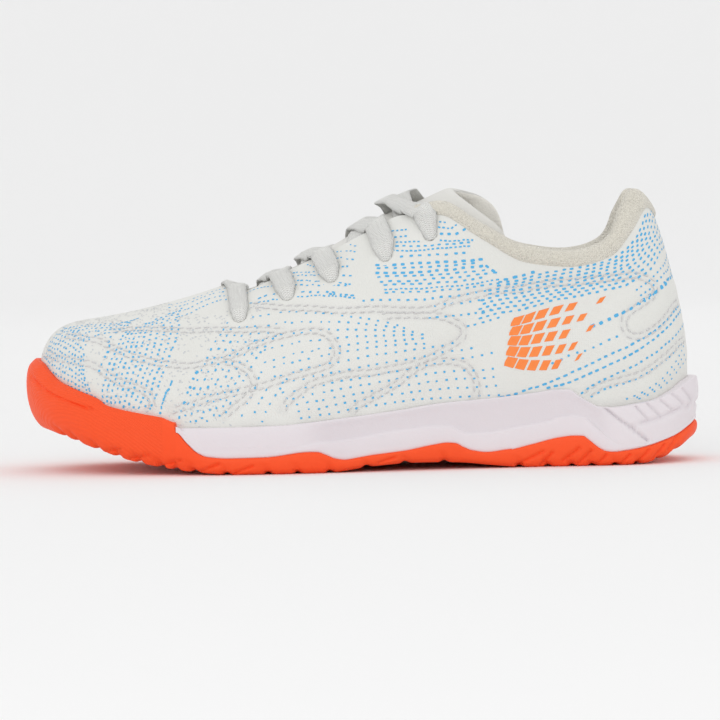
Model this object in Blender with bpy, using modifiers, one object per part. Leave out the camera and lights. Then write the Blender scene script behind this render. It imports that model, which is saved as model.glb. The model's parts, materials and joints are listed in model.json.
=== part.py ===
# Low indoor court shoe for the left foot, standing empty on its sole.
# Metres, +Z up. The toe points to -X and the outer side of the foot is at -Y.
# The origin is on the floor, under the middle of the sole's length and width.
# Every piece follows one ring that runs round the shoe: place 0 is the toe tip,
# LAST_PLACE is the back of the heel, below 0 is the outer side, above it the inner side.

import math
from collections import namedtuple

import bmesh
import bpy
from mathutils import Vector
from mathutils.bvhtree import BVHTree

# Driving sizes
SHOE_LENGTH = 0.228
BALL_WIDTH = 0.084
COLLAR_HEIGHT = 0.086          # floor to the highest point of the upper's edge, at the heel
TONGUE_HEIGHT = 0.0938         # floor to the top of the tongue
TOE_SPRING = 0.0145            # how far the sole lifts at the toe tip
FOREFOOT_BOARD = 0.0105        # floor to the insole's seat under the ball
HEEL_BOARD = 0.0165            # floor to the insole's seat under the heel
UPPER_WALL = 0.0018
OUTSOLE_THICK = 0.0036
BUMPER_WALL = 0.0028           # rubber wall that wraps the toe
BUMPER_HEIGHT = 0.0375         # floor to the bumper's lip at the toe tip
RIM_HEIGHT = 0.0262            # floor to the highest point of the midsole's rim, beside the heel
RIM_WALL = 0.0030              # midsole wall that cups the upper
STEP_DEPTH = 0.0010            # ledge along the midsole's side
SOLE_EDGE = 0.0030             # width of the bevel round the tread
INSOLE_THICK = 0.0032
TONGUE_THICK = 0.0034
PAD_DEPTH = 0.0300             # how far the collar's padding reaches down inside
PAD_THICK = 0.0062
PAD_START = 8.25               # ring place where the padding begins, behind the last lace
ROLL_HEIGHT = 0.0044           # padded edge above the upper's own edge
EYELET_RADIUS = 0.0019
LACE_WIDTH = 0.0078
LACE_THICK = 0.0013
LACE_START = 0.030             # how far in from its eyelet's centre a lace starts, as a share
LACE_STRAIGHT = 0.25           # share by which a lace cuts the bend at the ridge
GROOVE_WIDTH = 0.0024
GROOVE_DEPTH = 0.0016
CLEARANCE = 0.0003             # between pieces that touch
LACE_CLEARANCE = 0.0009        # under a lace, whose facets cut corners

# One row for each section of the upper, from the toe tip to the back of the heel.
# foot_along, top_along: where the section leaves the sole and where it ends, as shares of the length
# top_half: half the width of the opening there, as a share of the ball's width
# top_height: the edge's height, as a share of the collar's height
# reach: share of the way in at which the wall has turned over; square: 2 is round, more is boxy
# turn: share of a quarter turn that the wall makes; ramp: share of the rise that comes late,
# towards the throat; bulge: outward swell near the sole
Section = namedtuple(
    "Section", "foot_along top_along top_half top_height reach square turn ramp bulge"
)
SECTIONS = (
    Section(0.000, 0.308, 0.000, 0.728, 0.30, 3.2, 1.00, 0.32, 0.0014),
    Section(0.022, 0.314, 0.092, 0.718, 0.34, 3.0, 1.00, 0.32, 0.0014),
    Section(0.085, 0.333, 0.140, 0.700, 0.50, 2.7, 1.00, 0.34, 0.0015),
    Section(0.170, 0.372, 0.152, 0.742, 0.72, 2.4, 1.00, 0.38, 0.0017),
    Section(0.265, 0.420, 0.160, 0.804, 0.90, 2.2, 1.00, 0.40, 0.0020),
    Section(0.360, 0.469, 0.170, 0.862, 1.00, 2.1, 1.00, 0.38, 0.0022),
    Section(0.450, 0.518, 0.188, 0.926, 1.00, 2.1, 1.00, 0.31, 0.0024),
    Section(0.535, 0.566, 0.216, 0.984, 1.00, 2.1, 0.97, 0.21, 0.0025),
    Section(0.610, 0.618, 0.266, 0.990, 1.00, 2.1, 0.86, 0.09, 0.0023),
    Section(0.685, 0.680, 0.306, 0.895, 1.00, 2.1, 0.72, 0.00, 0.0021),
    Section(0.755, 0.746, 0.324, 0.798, 1.00, 2.1, 0.66, 0.00, 0.0021),
    Section(0.825, 0.811, 0.320, 0.776, 1.00, 2.1, 0.66, 0.00, 0.0021),
    Section(0.888, 0.868, 0.276, 0.812, 1.00, 2.0, 0.66, 0.00, 0.0021),
    Section(0.940, 0.900, 0.228, 0.902, 1.00, 2.0, 0.68, 0.00, 0.0021),
    Section(0.982, 0.926, 0.155, 1.000, 1.00, 1.9, 0.70, 0.00, 0.0021),
    Section(1.000, 0.941, 0.000, 0.960, 1.00, 1.9, 0.70, 0.00, 0.0021),
)
LAST_PLACE = len(SECTIONS) - 1

# The sole, as (share of the length, value)
FULLNESS = (        # half width over half the ball's width, with the round ends taken out
    (0.00, 1.50), (0.09, 1.33), (0.20, 1.155), (0.30, 1.08), (0.40, 0.975), (0.50, 0.865),
    (0.64, 0.780), (0.74, 0.815), (0.84, 0.98), (0.93, 1.19), (1.00, 1.33),
)
SWAY = (            # middle of the outline, towards the inner side, as a share of the ball's width
    (0.00, 0.083), (0.10, 0.057), (0.22, 0.018), (0.33, -0.006), (0.45, -0.027), (0.57, -0.024),
    (0.70, -0.010), (0.83, 0.0), (1.00, 0.0),
)
TREAD_LIFT = (      # underside above the floor, as a share of the toe spring
    (0.00, 1.00), (0.05, 0.84), (0.10, 0.60), (0.15, 0.36), (0.20, 0.19), (0.26, 0.06),
    (0.31, 0.0), (0.45, 0.0), (0.52, 0.12), (0.58, 0.17), (0.64, 0.15), (0.70, 0.05), (0.74, 0.0),
    (0.90, 0.0), (0.94, 0.07), (0.97, 0.22), (1.00, 0.45),
)
BOARD_RISE = (      # insole's seat from the forefoot's level (0) to the heel's (1)
    (0.25, 0.0), (0.40, 0.12), (0.60, 0.65), (0.78, 1.0), (1.00, 1.0),
)
FOOT_INSET = (      # the upper's foot in from the sole's outline, in rim walls
    (0.00, 1.95), (0.12, 1.48), (0.26, 1.34), (0.60, 1.40), (0.80, 1.50), (1.00, 1.56),
)
RUBBER_TOP = (      # top of the rubber on the side, above the tread's level, in outsole thicknesses
    (0.228, 3.60), (0.247, 2.55), (0.262, 1.80), (0.276, 1.56), (0.300, 1.55), (0.360, 1.60),
    (0.425, 2.00), (0.436, 1.98), (0.448, 1.72), (0.462, 1.32), (0.481, 1.06), (0.500, 1.08),
    (0.560, 1.20), (0.604, 1.66), (0.626, 1.86), (0.637, 1.82), (0.648, 1.50), (0.661, 1.24),
    (0.676, 1.18), (0.712, 1.60), (0.753, 2.20), (0.790, 2.74), (0.810, 2.86), (0.823, 2.83),
    (0.834, 2.36), (0.847, 1.70), (0.859, 1.34), (0.870, 1.28), (0.890, 1.38), (0.920, 1.62),
    (0.945, 1.92), (0.970, 2.30), (0.988, 2.90), (1.000, 3.10),
)
BUMPER_TOP = (      # top of the rubber round the toe, as a share of the bumper's height
    (0.000, 1.00), (0.010, 0.98), (0.024, 0.91), (0.043, 0.825), (0.060, 0.780), (0.080, 0.735),
    (0.102, 0.690), (0.112, 0.660), (0.122, 0.615), (0.150, 0.570), (0.182, 0.532), (0.206, 0.505),
    (0.228, 0.460),
)
RIM_TOP = (         # top of the midsole's rim, as a share of the rim's height
    (0.206, 0.590), (0.228, 0.600), (0.300, 0.603), (0.380, 0.615), (0.436, 0.655), (0.485, 0.700),
    (0.560, 0.775), (0.614, 0.842), (0.667, 0.877), (0.714, 0.910), (0.760, 0.955), (0.785, 0.985),
    (0.804, 0.983), (0.820, 0.893), (0.836, 0.808), (0.849, 0.755), (0.871, 0.745), (0.903, 0.778),
    (0.936, 0.822), (0.953, 0.882), (0.970, 0.957), (0.983, 1.030), (1.000, 1.080),
)
LEDGE_LIFT = 0.0062            # ledge above the rubber's edge
BUMPER_END = 0.228             # share of the length where the bumper gives way to the midsole
HEEL_FLARE = 0.0012            # swell of the midsole's lip at the back of the heel

# Laces and tread
# One row for each pair of eyelets, from the toe: along and height place the eyelet, as shares of
# the length and the collar's height; lean and tail say how far forward of it the lace crosses
# the ridge and ends at the other eyestay, as shares of the length
Eyelet = namedtuple("Eyelet", "along height lean tail")
EYELETS = (
    Eyelet(0.324, 0.598, 0.006, 0.000),
    Eyelet(0.395, 0.679, 0.018, 0.032),
    Eyelet(0.460, 0.747, 0.017, 0.031),
    Eyelet(0.540, 0.828, 0.025, 0.044),
    Eyelet(0.606, 0.906, 0.042, 0.036),
)
FOREFOOT_GROOVES = (0.085, 0.46, 9)     # first and last share of the length, and how many
HEEL_GROOVES = (0.735, 0.975, 6)
GROOVE_LEAN = 0.28                      # how far a groove runs forward towards the middle

# Tongue's free top, one row for each section: ridge and flank as shares of the length, the
# ridge's height as a share of the tongue's, the flank's as a share of the collar's, and the
# flank's half width as a share of the ball's width
TongueRow = namedtuple("TongueRow", "ridge_along ridge_height flank_along flank_height flank_half")
TONGUE_ROWS = (
    TongueRow(0.590, 0.946, 0.612, 0.790, 0.176),
    TongueRow(0.616, 0.974, 0.664, 0.790, 0.186),
    TongueRow(0.640, 1.000, 0.722, 0.860, 0.200),
)
TONGUE_ARCH = (     # tongue's ridge above the throat's edges, by place round the ring
    (1.0, -0.0028), (2.0, 0.0010), (3.0, 0.0024), (4.0, 0.0030), (5.0, 0.0038), (6.0, 0.0048),
    (7.0, 0.0046),
)

RAMP_POWER = 1.7
SWELL_PEAK = 0.1055            # largest value of share * (1 - share) ** 3
TINY = 1e-4


def smooth(points, at, flat_ends=True):
    """Value at a place in a table of (place, value) pairs, on a curve that never overshoots."""
    if at <= points[0][0]:
        return points[0][1]
    if at >= points[-1][0]:
        return points[-1][1]
    steps = [b[0] - a[0] for a, b in zip(points, points[1:])]
    slopes = [(b[1] - a[1]) / step for a, b, step in zip(points, points[1:], steps)]
    k = max(i for i in range(len(steps)) if points[i][0] <= at)

    def tangent(i):
        if i == 0 or i == len(steps):
            return 0.0 if flat_ends else slopes[0 if i == 0 else -1]
        before, after = slopes[i - 1], slopes[i]
        if before * after <= 0:
            return 0.0
        return 2 * before * after / (before + after)

    share = (at - points[k][0]) / steps[k]
    low, high = points[k][1], points[k + 1][1]
    rise = high - low
    into, out = tangent(k) * steps[k], tangent(k + 1) * steps[k]
    return low + share * (into + share * (3 * rise - 2 * into - out + share * (into + out - 2 * rise)))


def section_value(name, place, flat_ends=True):
    points = [(i, getattr(row, name)) for i, row in enumerate(SECTIONS)]
    return smooth(points, abs(place), flat_ends)


def folded(place):
    """The same place on the ring, between -LAST_PLACE and LAST_PLACE."""
    turn = 2 * LAST_PLACE
    return (place + LAST_PLACE) % turn - LAST_PLACE


def half_width(along):
    round_ends = 2 * math.sqrt(max(along * (1 - along), 0.0))
    return BALL_WIDTH / 2 * smooth(FULLNESS, along, False) * round_ends


def outline_middle():
    """Middle of the raw outline's width, so that the finished sole is centred on the origin."""
    samples = [i / 200 for i in range(201)]
    low = min(BALL_WIDTH * smooth(SWAY, s) - half_width(s) for s in samples)
    high = max(BALL_WIDTH * smooth(SWAY, s) + half_width(s) for s in samples)
    return (low + high) / 2


OUTLINE_MIDDLE = outline_middle()


def middle_line(along):
    return BALL_WIDTH * smooth(SWAY, along) - OUTLINE_MIDDLE


def at_along(along):
    return (along - 0.5) * SHOE_LENGTH


def foot_along(place):
    return section_value("foot_along", folded(place))


def outline(place):
    place = folded(place)
    along = foot_along(place)
    side = math.copysign(1.0, place)
    return Vector((at_along(along), middle_line(along) + side * half_width(along), 0.0))


def outward(place):
    """Unit vector out of the sole's outline, level."""
    run = outline(place + 0.01) - outline(place - 0.01)
    return Vector((-run.y, run.x, 0.0)).normalized()


def sole_point(place, inset, height):
    point = outline(place) - outward(place) * inset
    point.z = height
    return point


def tread_level(along):
    return TOE_SPRING * smooth(TREAD_LIFT, along)


def board_level(along):
    """Where the insole and the upper's foot are seated."""
    rise = smooth(BOARD_RISE, along)
    return FOREFOOT_BOARD + (HEEL_BOARD - FOREFOOT_BOARD) * rise + toe_lift(along)


def toe_lift(along):
    """The seat follows the toe spring, but not the bevel under the heel."""
    return tread_level(along) * 0.82 if along < 0.4 else 0.0


def rubber_top(along):
    if along < BUMPER_END:
        return BUMPER_HEIGHT * smooth(BUMPER_TOP, along)
    return tread_base(along) + OUTSOLE_THICK * smooth(RUBBER_TOP, along)


def tread_base(along):
    """Tread level with the bevels at the ends left out."""
    return tread_level(along) if BUMPER_END <= along < 0.72 else 0.0


def hidden_share(along):
    """1 where the bumper covers the midsole's side, 0 where the midsole shows."""
    return 1.0 if along < BUMPER_END + 0.010 else 0.0


def rim_top(along):
    """Top of the midsole's rim, which sinks to the seat where it meets the bumper."""
    if along < BUMPER_END + 0.027:
        return board_level(along) - CLEARANCE
    return RIM_HEIGHT * smooth(RIM_TOP, along)


def foot_inset(place):
    return RIM_WALL * smooth(FOOT_INSET, foot_along(place))


def upper_foot(place):
    return sole_point(place, foot_inset(place), board_level(foot_along(place)) + CLEARANCE)


def throat_middle(along):
    """The opening's middle line drifts to the inner side towards the toe."""
    return BALL_WIDTH * 0.022 * max(0.0, min(1.0, (0.6 - along) / 0.3))


def upper_edge(place):
    place = folded(place)
    along = section_value("top_along", place)
    half = BALL_WIDTH * section_value("top_half", place, False)
    height = COLLAR_HEIGHT * section_value("top_height", place)
    side = math.copysign(1.0, place)
    return Vector((at_along(along), throat_middle(along) + side * half, height))


def quarter(share, square):
    """Point on a quarter of a superellipse at this share of the turn."""
    across, up = math.cos(share * math.pi / 2), math.sin(share * math.pi / 2)
    span = (across ** square + up ** square) ** (1 / square)
    return across / span, up / span


def upper_point(place, share):
    """Outer surface of the upper: share 0 is its foot on the sole, 1 its edge at throat or collar."""
    reach = section_value("reach", folded(place))
    square = section_value("square", folded(place))
    turn = section_value("turn", folded(place))
    ramp = section_value("ramp", folded(place))
    swell = section_value("bulge", folded(place))
    wall = math.sqrt(reach)
    if share < wall:
        angle = share / wall * turn
        inward = reach * (1 - quarter(angle, square)[0]) / (1 - quarter(turn, square)[0])
        rise = quarter(angle, square)[1] / quarter(turn, square)[1]
    else:
        inward, rise = reach + (1 - reach) * (share - wall) / max(1 - wall, TINY), 1.0
    rise = (1 - ramp) * rise + ramp * inward ** RAMP_POWER
    foot, edge = upper_foot(place), upper_edge(place)
    point = foot.lerp(edge, inward)
    point.z = foot.z + (edge.z - foot.z) * rise
    bump = share * (1 - share) ** 3 / SWELL_PEAK
    return point + outward(place) * swell * bump


def upper_normal(place, share):
    """Unit vector out of the upper's surface."""
    share = min(max(share, 0.005), 0.995)
    across = upper_point(place + 0.02, share) - upper_point(place - 0.02, share)
    up = upper_point(place, share + 0.005) - upper_point(place, share - 0.005)
    return up.cross(across).normalized()


def inside_upper(place, share, depth):
    return upper_point(place, share) - upper_normal(place, share) * depth


def share_below_edge(place, distance):
    """Share at which the surface has run this far down from the upper's edge."""
    share, gone, last = 1.0, 0.0, upper_point(place, 1.0)
    step = 0.01
    while share > step and gone < distance:
        share -= step
        point = upper_point(place, share)
        gone += (point - last).length
        last = point
    return share


def share_at_height(place, height):
    low, high = 0.0, 1.0
    for _ in range(24):
        middle = (low + high) / 2
        if upper_point(place, middle).z < height:
            low = middle
        else:
            high = middle
    return low


def ring_places():
    """Places of the soles' columns: every corner of the side's waves, and no wide gap."""
    corners = [s for s, _ in RUBBER_TOP] + [0.012, 0.05, 0.115]
    found = []
    for along in corners:
        low, high = 0.0, float(LAST_PLACE)
        for _ in range(30):
            middle = (low + high) / 2
            if foot_along(middle) < along:
                low = middle
            else:
                high = middle
        found.append(low)
    found = sorted([0.0] + found)
    kept = [0.0]
    for place in found[1:]:
        gap = place - kept[-1]
        if gap < 0.12:
            continue
        parts = max(1, math.ceil(gap / 0.46))
        kept += [kept[-1] + gap * (i + 1) / parts for i in range(parts)]
    kept[-1] = float(LAST_PLACE)
    return [-p for p in reversed(kept[1:])] + kept[:-1]


PLACES = ring_places()
HALF_RING = (
    0.3, 0.6, 0.95, 1.3, 1.7, 2.2, 2.7, 3.2, 3.7, 4.25, 4.8, 5.4, 6.0, 6.5, 7.0, 7.5, 7.9, 8.25,
    8.6, 9.1, 9.6, 10.2, 10.8, 11.4, 11.9, 12.4, 12.8, 13.2, 13.6, 13.95, 14.25, 14.5, 14.75,
)
UPPER_PLACES = [-p for p in reversed(HALF_RING)] + [0.0, *HALF_RING, float(LAST_PLACE)]


def collection(name):
    made = bpy.data.collections.new(name)
    bpy.context.scene.collection.children.link(made)
    return made


def material(name, colour, roughness):
    made = bpy.data.materials.new(name)
    made.use_nodes = True
    shader = made.node_tree.nodes["Principled BSDF"]
    shader.inputs["Base Color"].default_value = (*colour, 1.0)
    shader.inputs["Roughness"].default_value = roughness
    shader.inputs["Metallic"].default_value = 0.0
    return made


def add_object(name, mesh, home, finish=None):
    mesh.shade_smooth()
    mesh.set_sharp_from_angle(angle=math.radians(40))
    made = bpy.data.objects.new(name, mesh)
    home.objects.link(made)
    if finish:
        mesh.materials.append(finish)
    return made


def finished_mesh(name, form):
    bmesh.ops.remove_doubles(form, verts=form.verts, dist=1e-6)
    bmesh.ops.recalc_face_normals(form, faces=form.faces)
    mesh = bpy.data.meshes.new(name)
    form.to_mesh(mesh)
    form.free()
    return mesh


def between_rings(form, first, second, closed=True):
    count = len(first)
    for i in range(count if closed else count - 1):
        j = (i + 1) % count
        form.faces.new((first[i], first[j], second[j], second[i]))


def slab(name, rings, places):
    """A closed solid from rings of points, each capped by strips from side to side."""
    form = bmesh.new()
    loops = [[form.verts.new(p) for p in ring] for ring in rings]
    for first, second in zip(loops, loops[1:]):
        between_rings(form, first, second)
    toe = places.index(0.0)
    for loop in (loops[0], loops[-1]):
        count = len(loop)
        for i in range(count // 2):
            a, b = (toe - i) % count, (toe - i - 1) % count
            c, d = (toe + i + 1) % count, (toe + i) % count
            corners = list(dict.fromkeys((loop[a], loop[b], loop[c], loop[d])))
            if len(corners) > 2:
                form.faces.new(corners)
    return finished_mesh(name, form)


def bar(name, sections, strips=False):
    """A closed solid through closed sections of as many points each. Strips cap a bent end."""
    form = bmesh.new()
    loops = [[form.verts.new(p) for p in section] for section in sections]
    for first, second in zip(loops, loops[1:]):
        between_rings(form, first, second)
    for loop in (loops[0], loops[-1]):
        if not strips:
            form.faces.new(loop)
            continue
        for i in range(len(loop) // 2):
            corners = (loop[i], loop[i + 1], loop[-2 - i], loop[-1 - i])
            corners = list(dict.fromkeys(corners))
            if len(corners) > 2:
                form.faces.new(corners)
    return finished_mesh(name, form)


def add_boolean(target, tool, operation):
    step = target.modifiers.new(operation.title(), "BOOLEAN")
    step.operation = operation
    step.object = tool
    step.solver = "EXACT"


def bake(target):
    """Replaces an object's modifiers by the mesh that they make."""
    graph = bpy.context.evaluated_depsgraph_get()
    mesh = bpy.data.meshes.new_from_object(target.evaluated_get(graph))
    target.modifiers.clear()
    target.data = mesh


def eyelet_spot(eyelet):
    """Ring place and share of an eyelet's centre on the upper."""
    height = COLLAR_HEIGHT * eyelet.height
    low, high = 1.0, 9.0
    for _ in range(24):
        middle = (low + high) / 2
        share = share_at_height(middle, height)
        if upper_point(middle, share).x < at_along(eyelet.along):
            low = middle
        else:
            high = middle
    return low, share_at_height(low, height)


EYELET_SPOTS = [eyelet_spot(eyelet) for eyelet in EYELETS]


def edge_place(along):
    """Ring place whose section ends at this share of the length on the throat's edge."""
    low, high = 1.0, 9.0
    for _ in range(24):
        middle = (low + high) / 2
        if section_value("top_along", middle) < along:
            low = middle
        else:
            high = middle
    return low


def make_upper(home, tools, finish):
    shares = [0.0, 0.08, 0.17, 0.27, 0.37, 0.47, 0.57, 0.68, 0.79, 0.90, 1.0]
    form = bmesh.new()
    loops = [[form.verts.new(upper_point(p, s)) for p in UPPER_PLACES] for s in shares]
    for first, second in zip(loops, loops[1:]):
        between_rings(form, first, second)
    upper = add_object("upper", finished_mesh("upper", form), home, finish)
    wall = upper.modifiers.new("Wall", "SOLIDIFY")
    wall.thickness = UPPER_WALL
    wall.offset = -1.0
    wall.use_even_offset = False
    punches = bmesh.new()
    for place, share in EYELET_SPOTS:
        for side in (-1, 1):
            normal = upper_normal(side * place, share)
            middle = upper_point(side * place, share) - normal * UPPER_WALL / 2
            turn = normal.to_track_quat("Z", "Y").to_matrix().to_4x4()
            turn.translation = middle
            bmesh.ops.create_cone(
                punches, cap_ends=True, segments=10, radius1=EYELET_RADIUS, radius2=EYELET_RADIUS,
                depth=4 * UPPER_WALL, matrix=turn,
            )
    punch = add_object("eyelet_punches", finished_mesh("eyelet_punches", punches), tools)
    add_boolean(upper, punch, "DIFFERENCE")
    return upper


def side_profile(place):
    """(inset, height) pairs up the outsole's side, from the tread's edge to the rubber's top."""
    along = foot_along(place)
    low, top = tread_level(along), rubber_top(along)
    ends = smooth(((0.0, 1.0), (0.06, 0.75), (0.16, 0.15), (0.30, 0.0), (0.88, 0.0), (1.0, 0.6)), along)
    tuck = SOLE_EDGE * ends
    tall = top - low
    return (
        (SOLE_EDGE + 0.9 * tuck, low),
        (0.35 * SOLE_EDGE + 0.45 * tuck, low + 0.16 * tall + 0.0002),
        (0.10 * SOLE_EDGE + 0.10 * tuck, low + 0.42 * tall),
        (0.0, low + 0.70 * tall),
        (0.0001 + 0.10 * tuck, low + 0.90 * tall),
        (0.0004 + 0.30 * tuck, top),
    )


def seam_points(place):
    """(inset, height) of the seam between outsole and midsole, from outside to in."""
    along = foot_along(place)
    hidden = hidden_share(along)
    bed = tread_level(along) + OUTSOLE_THICK
    top = rubber_top(along)
    under_foot = foot_inset(place) - 2.2 * CLEARANCE
    step_in = BUMPER_WALL + (under_foot - BUMPER_WALL) * hidden
    seat = board_level(along) - 4 * CLEARANCE
    outer = (0.0004 * (1 - hidden) + step_in * hidden, top * (1 - hidden) + seat * hidden)
    level = max(min(outer[1] - 0.0006, bed + 0.0016), bed + 0.0001)
    return outer, (step_in, level), (0.0085, bed)


def beside_upper(place, height):
    """Point just outside the upper's wall at this height."""
    point = upper_point(place, share_at_height(place, height)) + outward(place) * 2 * CLEARANCE
    point.z = height
    return point


def make_outsole(home, tools, finish):
    rings = []
    for i in range(6):
        rings.append([sole_point(p, *side_profile(p)[i]) for p in PLACES])
    lip, inner, shoulder, bed = [], [], [], []
    for p in PLACES:
        along = foot_along(p)
        hidden = hidden_share(along)
        outer, turn, seat = seam_points(p)
        shoulder.append(sole_point(p, *turn))
        bed.append(sole_point(p, *seat))
        edge = sole_point(p, *side_profile(p)[-1])
        above, below = edge.lerp(shoulder[-1], 0.3), edge.lerp(shoulder[-1], 0.65)
        if hidden > 0:
            above = above.lerp(beside_upper(p, rubber_top(along) - 0.0004), hidden)
            below = below.lerp(beside_upper(p, board_level(along) + 0.0012), hidden)
        lip.append(above)
        inner.append(below)
    rings += [lip, inner, shoulder, bed]
    outsole = add_object("outsole", slab("outsole", rings, PLACES), home, finish)
    grooves = make_grooves(tools)
    add_boolean(outsole, grooves, "DIFFERENCE")
    return outsole


def make_grooves(tools):
    """Chevron grooves right across the tread, one closed cutter for each."""
    form = bmesh.new()
    for first, last, count in (FOREFOOT_GROOVES, HEEL_GROOVES):
        for k in range(count):
            along = first + (last - first) * k / (count - 1)
            half = half_width(along) + 0.006
            middle = middle_line(along)
            loops = []
            for part in (-1.0, -0.5, 0.0, 0.5, 1.0):
                y = middle + part * half
                x = at_along(along) + GROOVE_LEAN * (abs(part) - 0.5) * BALL_WIDTH / 3
                share = min(max(x / SHOE_LENGTH + 0.5, 0.0), 1.0)
                top = tread_level(share) + GROOVE_DEPTH
                low = tread_level(share) - 3 * GROOVE_DEPTH
                corners = ((-0.5, low), (0.5, low), (0.36, top), (-0.36, top))
                loops.append([form.verts.new((x + w * GROOVE_WIDTH, y, z)) for w, z in corners])
            for a, b in zip(loops, loops[1:]):
                between_rings(form, a, b)
            form.faces.new(loops[0])
            form.faces.new(loops[-1])
    return add_object("tread_grooves", finished_mesh("tread_grooves", form), tools)


def make_midsole(home, finish):
    under, shoulder, edge, low, ledge, above, high, rim, inner, foot = ([] for _ in range(10))
    for p in PLACES:
        along = foot_along(p)
        hidden = hidden_share(along)
        shown = 1 - hidden
        outer, turn, seat = seam_points(p)
        top = rim_top(along)
        base = min(outer[1] + 1.6 * CLEARANCE, top - CLEARANCE)
        sunk = 1.0 if along < BUMPER_END + 0.027 else 0.0
        skin = outer[0] + 0.0016 * hidden + 0.0012 * sunk
        flare = HEEL_FLARE * smooth(((0.93, 0.0), (0.99, 1.0)), along)
        step = STEP_DEPTH * smooth(((0.40, 0.0), (0.46, 1.0), (0.84, 1.0), (0.88, 0.0)), along)
        line = min(base + LEDGE_LIFT, base + 0.62 * (top - base))
        under.append(sole_point(p, seat[0] + CLEARANCE, seat[1] + 1.7 * CLEARANCE))
        shoulder.append(sole_point(p, turn[0] + 3 * CLEARANCE, turn[1] + 2.5 * CLEARANCE))
        edge.append(sole_point(p, skin + 0.0004 * shown, base))
        low.append(sole_point(p, skin, base + 0.45 * (line - base)))
        ledge.append(sole_point(p, skin, line))
        above.append(sole_point(p, skin + step, line + 0.12 * (top - line)))
        lean = 0.7 * step + 0.0004 * shown - flare
        high.append(sole_point(p, skin + lean, line + 0.62 * (top - line)))
        rim.append(sole_point(p, skin + 0.0007 * shown - flare, top))
        wall = upper_point(p, share_at_height(p, top)) + outward(p) * 2 * CLEARANCE
        wall.z = top - 0.0002 * shown
        inner.append(wall.lerp(sole_point(p, skin + 0.0004, top), hidden))
        inset = foot_inset(p) - 2 * CLEARANCE
        level = min(board_level(along), top)
        foot.append(sole_point(p, inset + (skin + 0.0010 - inset) * hidden, level))
    rings = [under, shoulder, edge, low, ledge, above, high, rim, inner, foot]
    return add_object("midsole", slab("midsole", rings, PLACES), home, finish)


def make_insole(home, finish):
    rings = []
    margin = UPPER_WALL + 2 * CLEARANCE
    for inset, lift in ((0.004, 0.0), (0.0, 0.0004), (0.0, 0.8), (0.0012, 1.0), (0.007, 0.86)):
        ring = []
        for p in UPPER_PLACES:
            level = board_level(foot_along(p)) + CLEARANCE
            height = level + (lift * INSOLE_THICK if lift > 0.01 else lift)
            ring.append(sole_point(p, foot_inset(p) + margin + inset, height))
        rings.append(ring)
    return add_object("insole", slab("insole", rings, UPPER_PLACES), home, finish)


def make_collar_pad(home, finish):
    """Padding that rolls over the upper's edge and runs down inside it, from throat to throat."""
    start = PAD_START
    inner = [p for p in UPPER_PLACES if p > start + 0.15]
    outer = [p + 2 * LAST_PLACE for p in UPPER_PLACES if p < -start - 0.15]
    places = [start] + inner + outer + [2 * LAST_PLACE - start]
    sections = []
    for raw in places:
        place = folded(raw)
        out = upper_normal(place, 0.96)
        edge = upper_point(place, 1.0)
        up = (edge - upper_point(place, 0.97)).normalized()
        end = min(1.0, (abs(place) - start) / 2.2)
        thick = PAD_THICK * (0.50 + 0.50 * end)
        roll = ROLL_HEIGHT * (0.80 + 0.20 * end)
        skin = UPPER_WALL + 3 * CLEARANCE + 0.0007 * (1 - end)

        def near_edge(outwards, upwards):
            return edge + out * outwards + up * upwards

        def down_inside(distance, depth):
            share = share_below_edge(place, distance)
            return inside_upper(place, share, depth)

        reach = PAD_DEPTH * (0.60 + 0.40 * end)
        sections.append([
            near_edge(-0.0001, 2.5 * CLEARANCE),
            near_edge(0.0004, 0.40 * roll),
            near_edge(-0.0006, 0.84 * roll),
            near_edge(-0.0026, roll),
            near_edge(-0.6 * (skin + thick), 0.78 * roll),
            near_edge(-0.94 * (skin + thick), 0.12 * roll),
            down_inside(0.22 * reach, skin + 1.04 * thick),
            down_inside(0.60 * reach, skin + 0.72 * thick),
            down_inside(reach, skin + 0.20 * thick),
            down_inside(reach, skin),
            down_inside(0.60 * reach, skin),
            down_inside(0.22 * reach, skin),
            near_edge(-skin, 2.5 * CLEARANCE),
        ])
    return add_object("collar_pad", bar("collar_pad", sections), home, finish)


def tongue_arc(place):
    """Outer points of the tongue across the throat at a ring place, outer side to inner side."""
    arc = []
    skin = UPPER_WALL + 2.4 * CLEARANCE
    for side in (-1, 1):
        flank = []
        for distance in (0.0105, 0.0060, 0.0012):
            share = share_below_edge(side * place, distance)
            flank.append(inside_upper(side * place, share, skin))
        arc.append(flank)
    left, right = arc[0], arc[1][::-1]
    ridge = (left[-1] + right[0]) / 2
    ridge.z += smooth(TONGUE_ARCH, place)
    between = []
    for side in (left[-1], right[0]):
        point = side.lerp(ridge, 0.5)
        point.z = side.z + (ridge.z - side.z) * 0.78
        between.append(point)
    return left + [between[0], ridge, between[1]] + right


def tongue_top_arc(row):
    """Outer points of the free top of the tongue, bent round the front of the ankle."""
    arc = []
    middle = throat_middle(row.ridge_along)
    for part in (-1.0, -0.90, -0.70, -0.38, 0.0, 0.38, 0.70, 0.90, 1.0):
        angle = abs(part) * math.pi / 2
        across = math.copysign(math.sin(angle), part)
        back = 1 - math.cos(angle)
        if part < 0:
            drop = 0.8 * back ** 0.9 + 0.2 * back ** 12
        else:
            drop = 0.6 * back ** 2.2 + 0.4 * back ** 14
        x = at_along(row.ridge_along + (row.flank_along - row.ridge_along) * back)
        top, low = TONGUE_HEIGHT * row.ridge_height, COLLAR_HEIGHT * row.flank_height
        y = middle + BALL_WIDTH * row.flank_half * across
        arc.append(Vector((x, y, top + (low - top) * drop)))
    return arc


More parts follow.
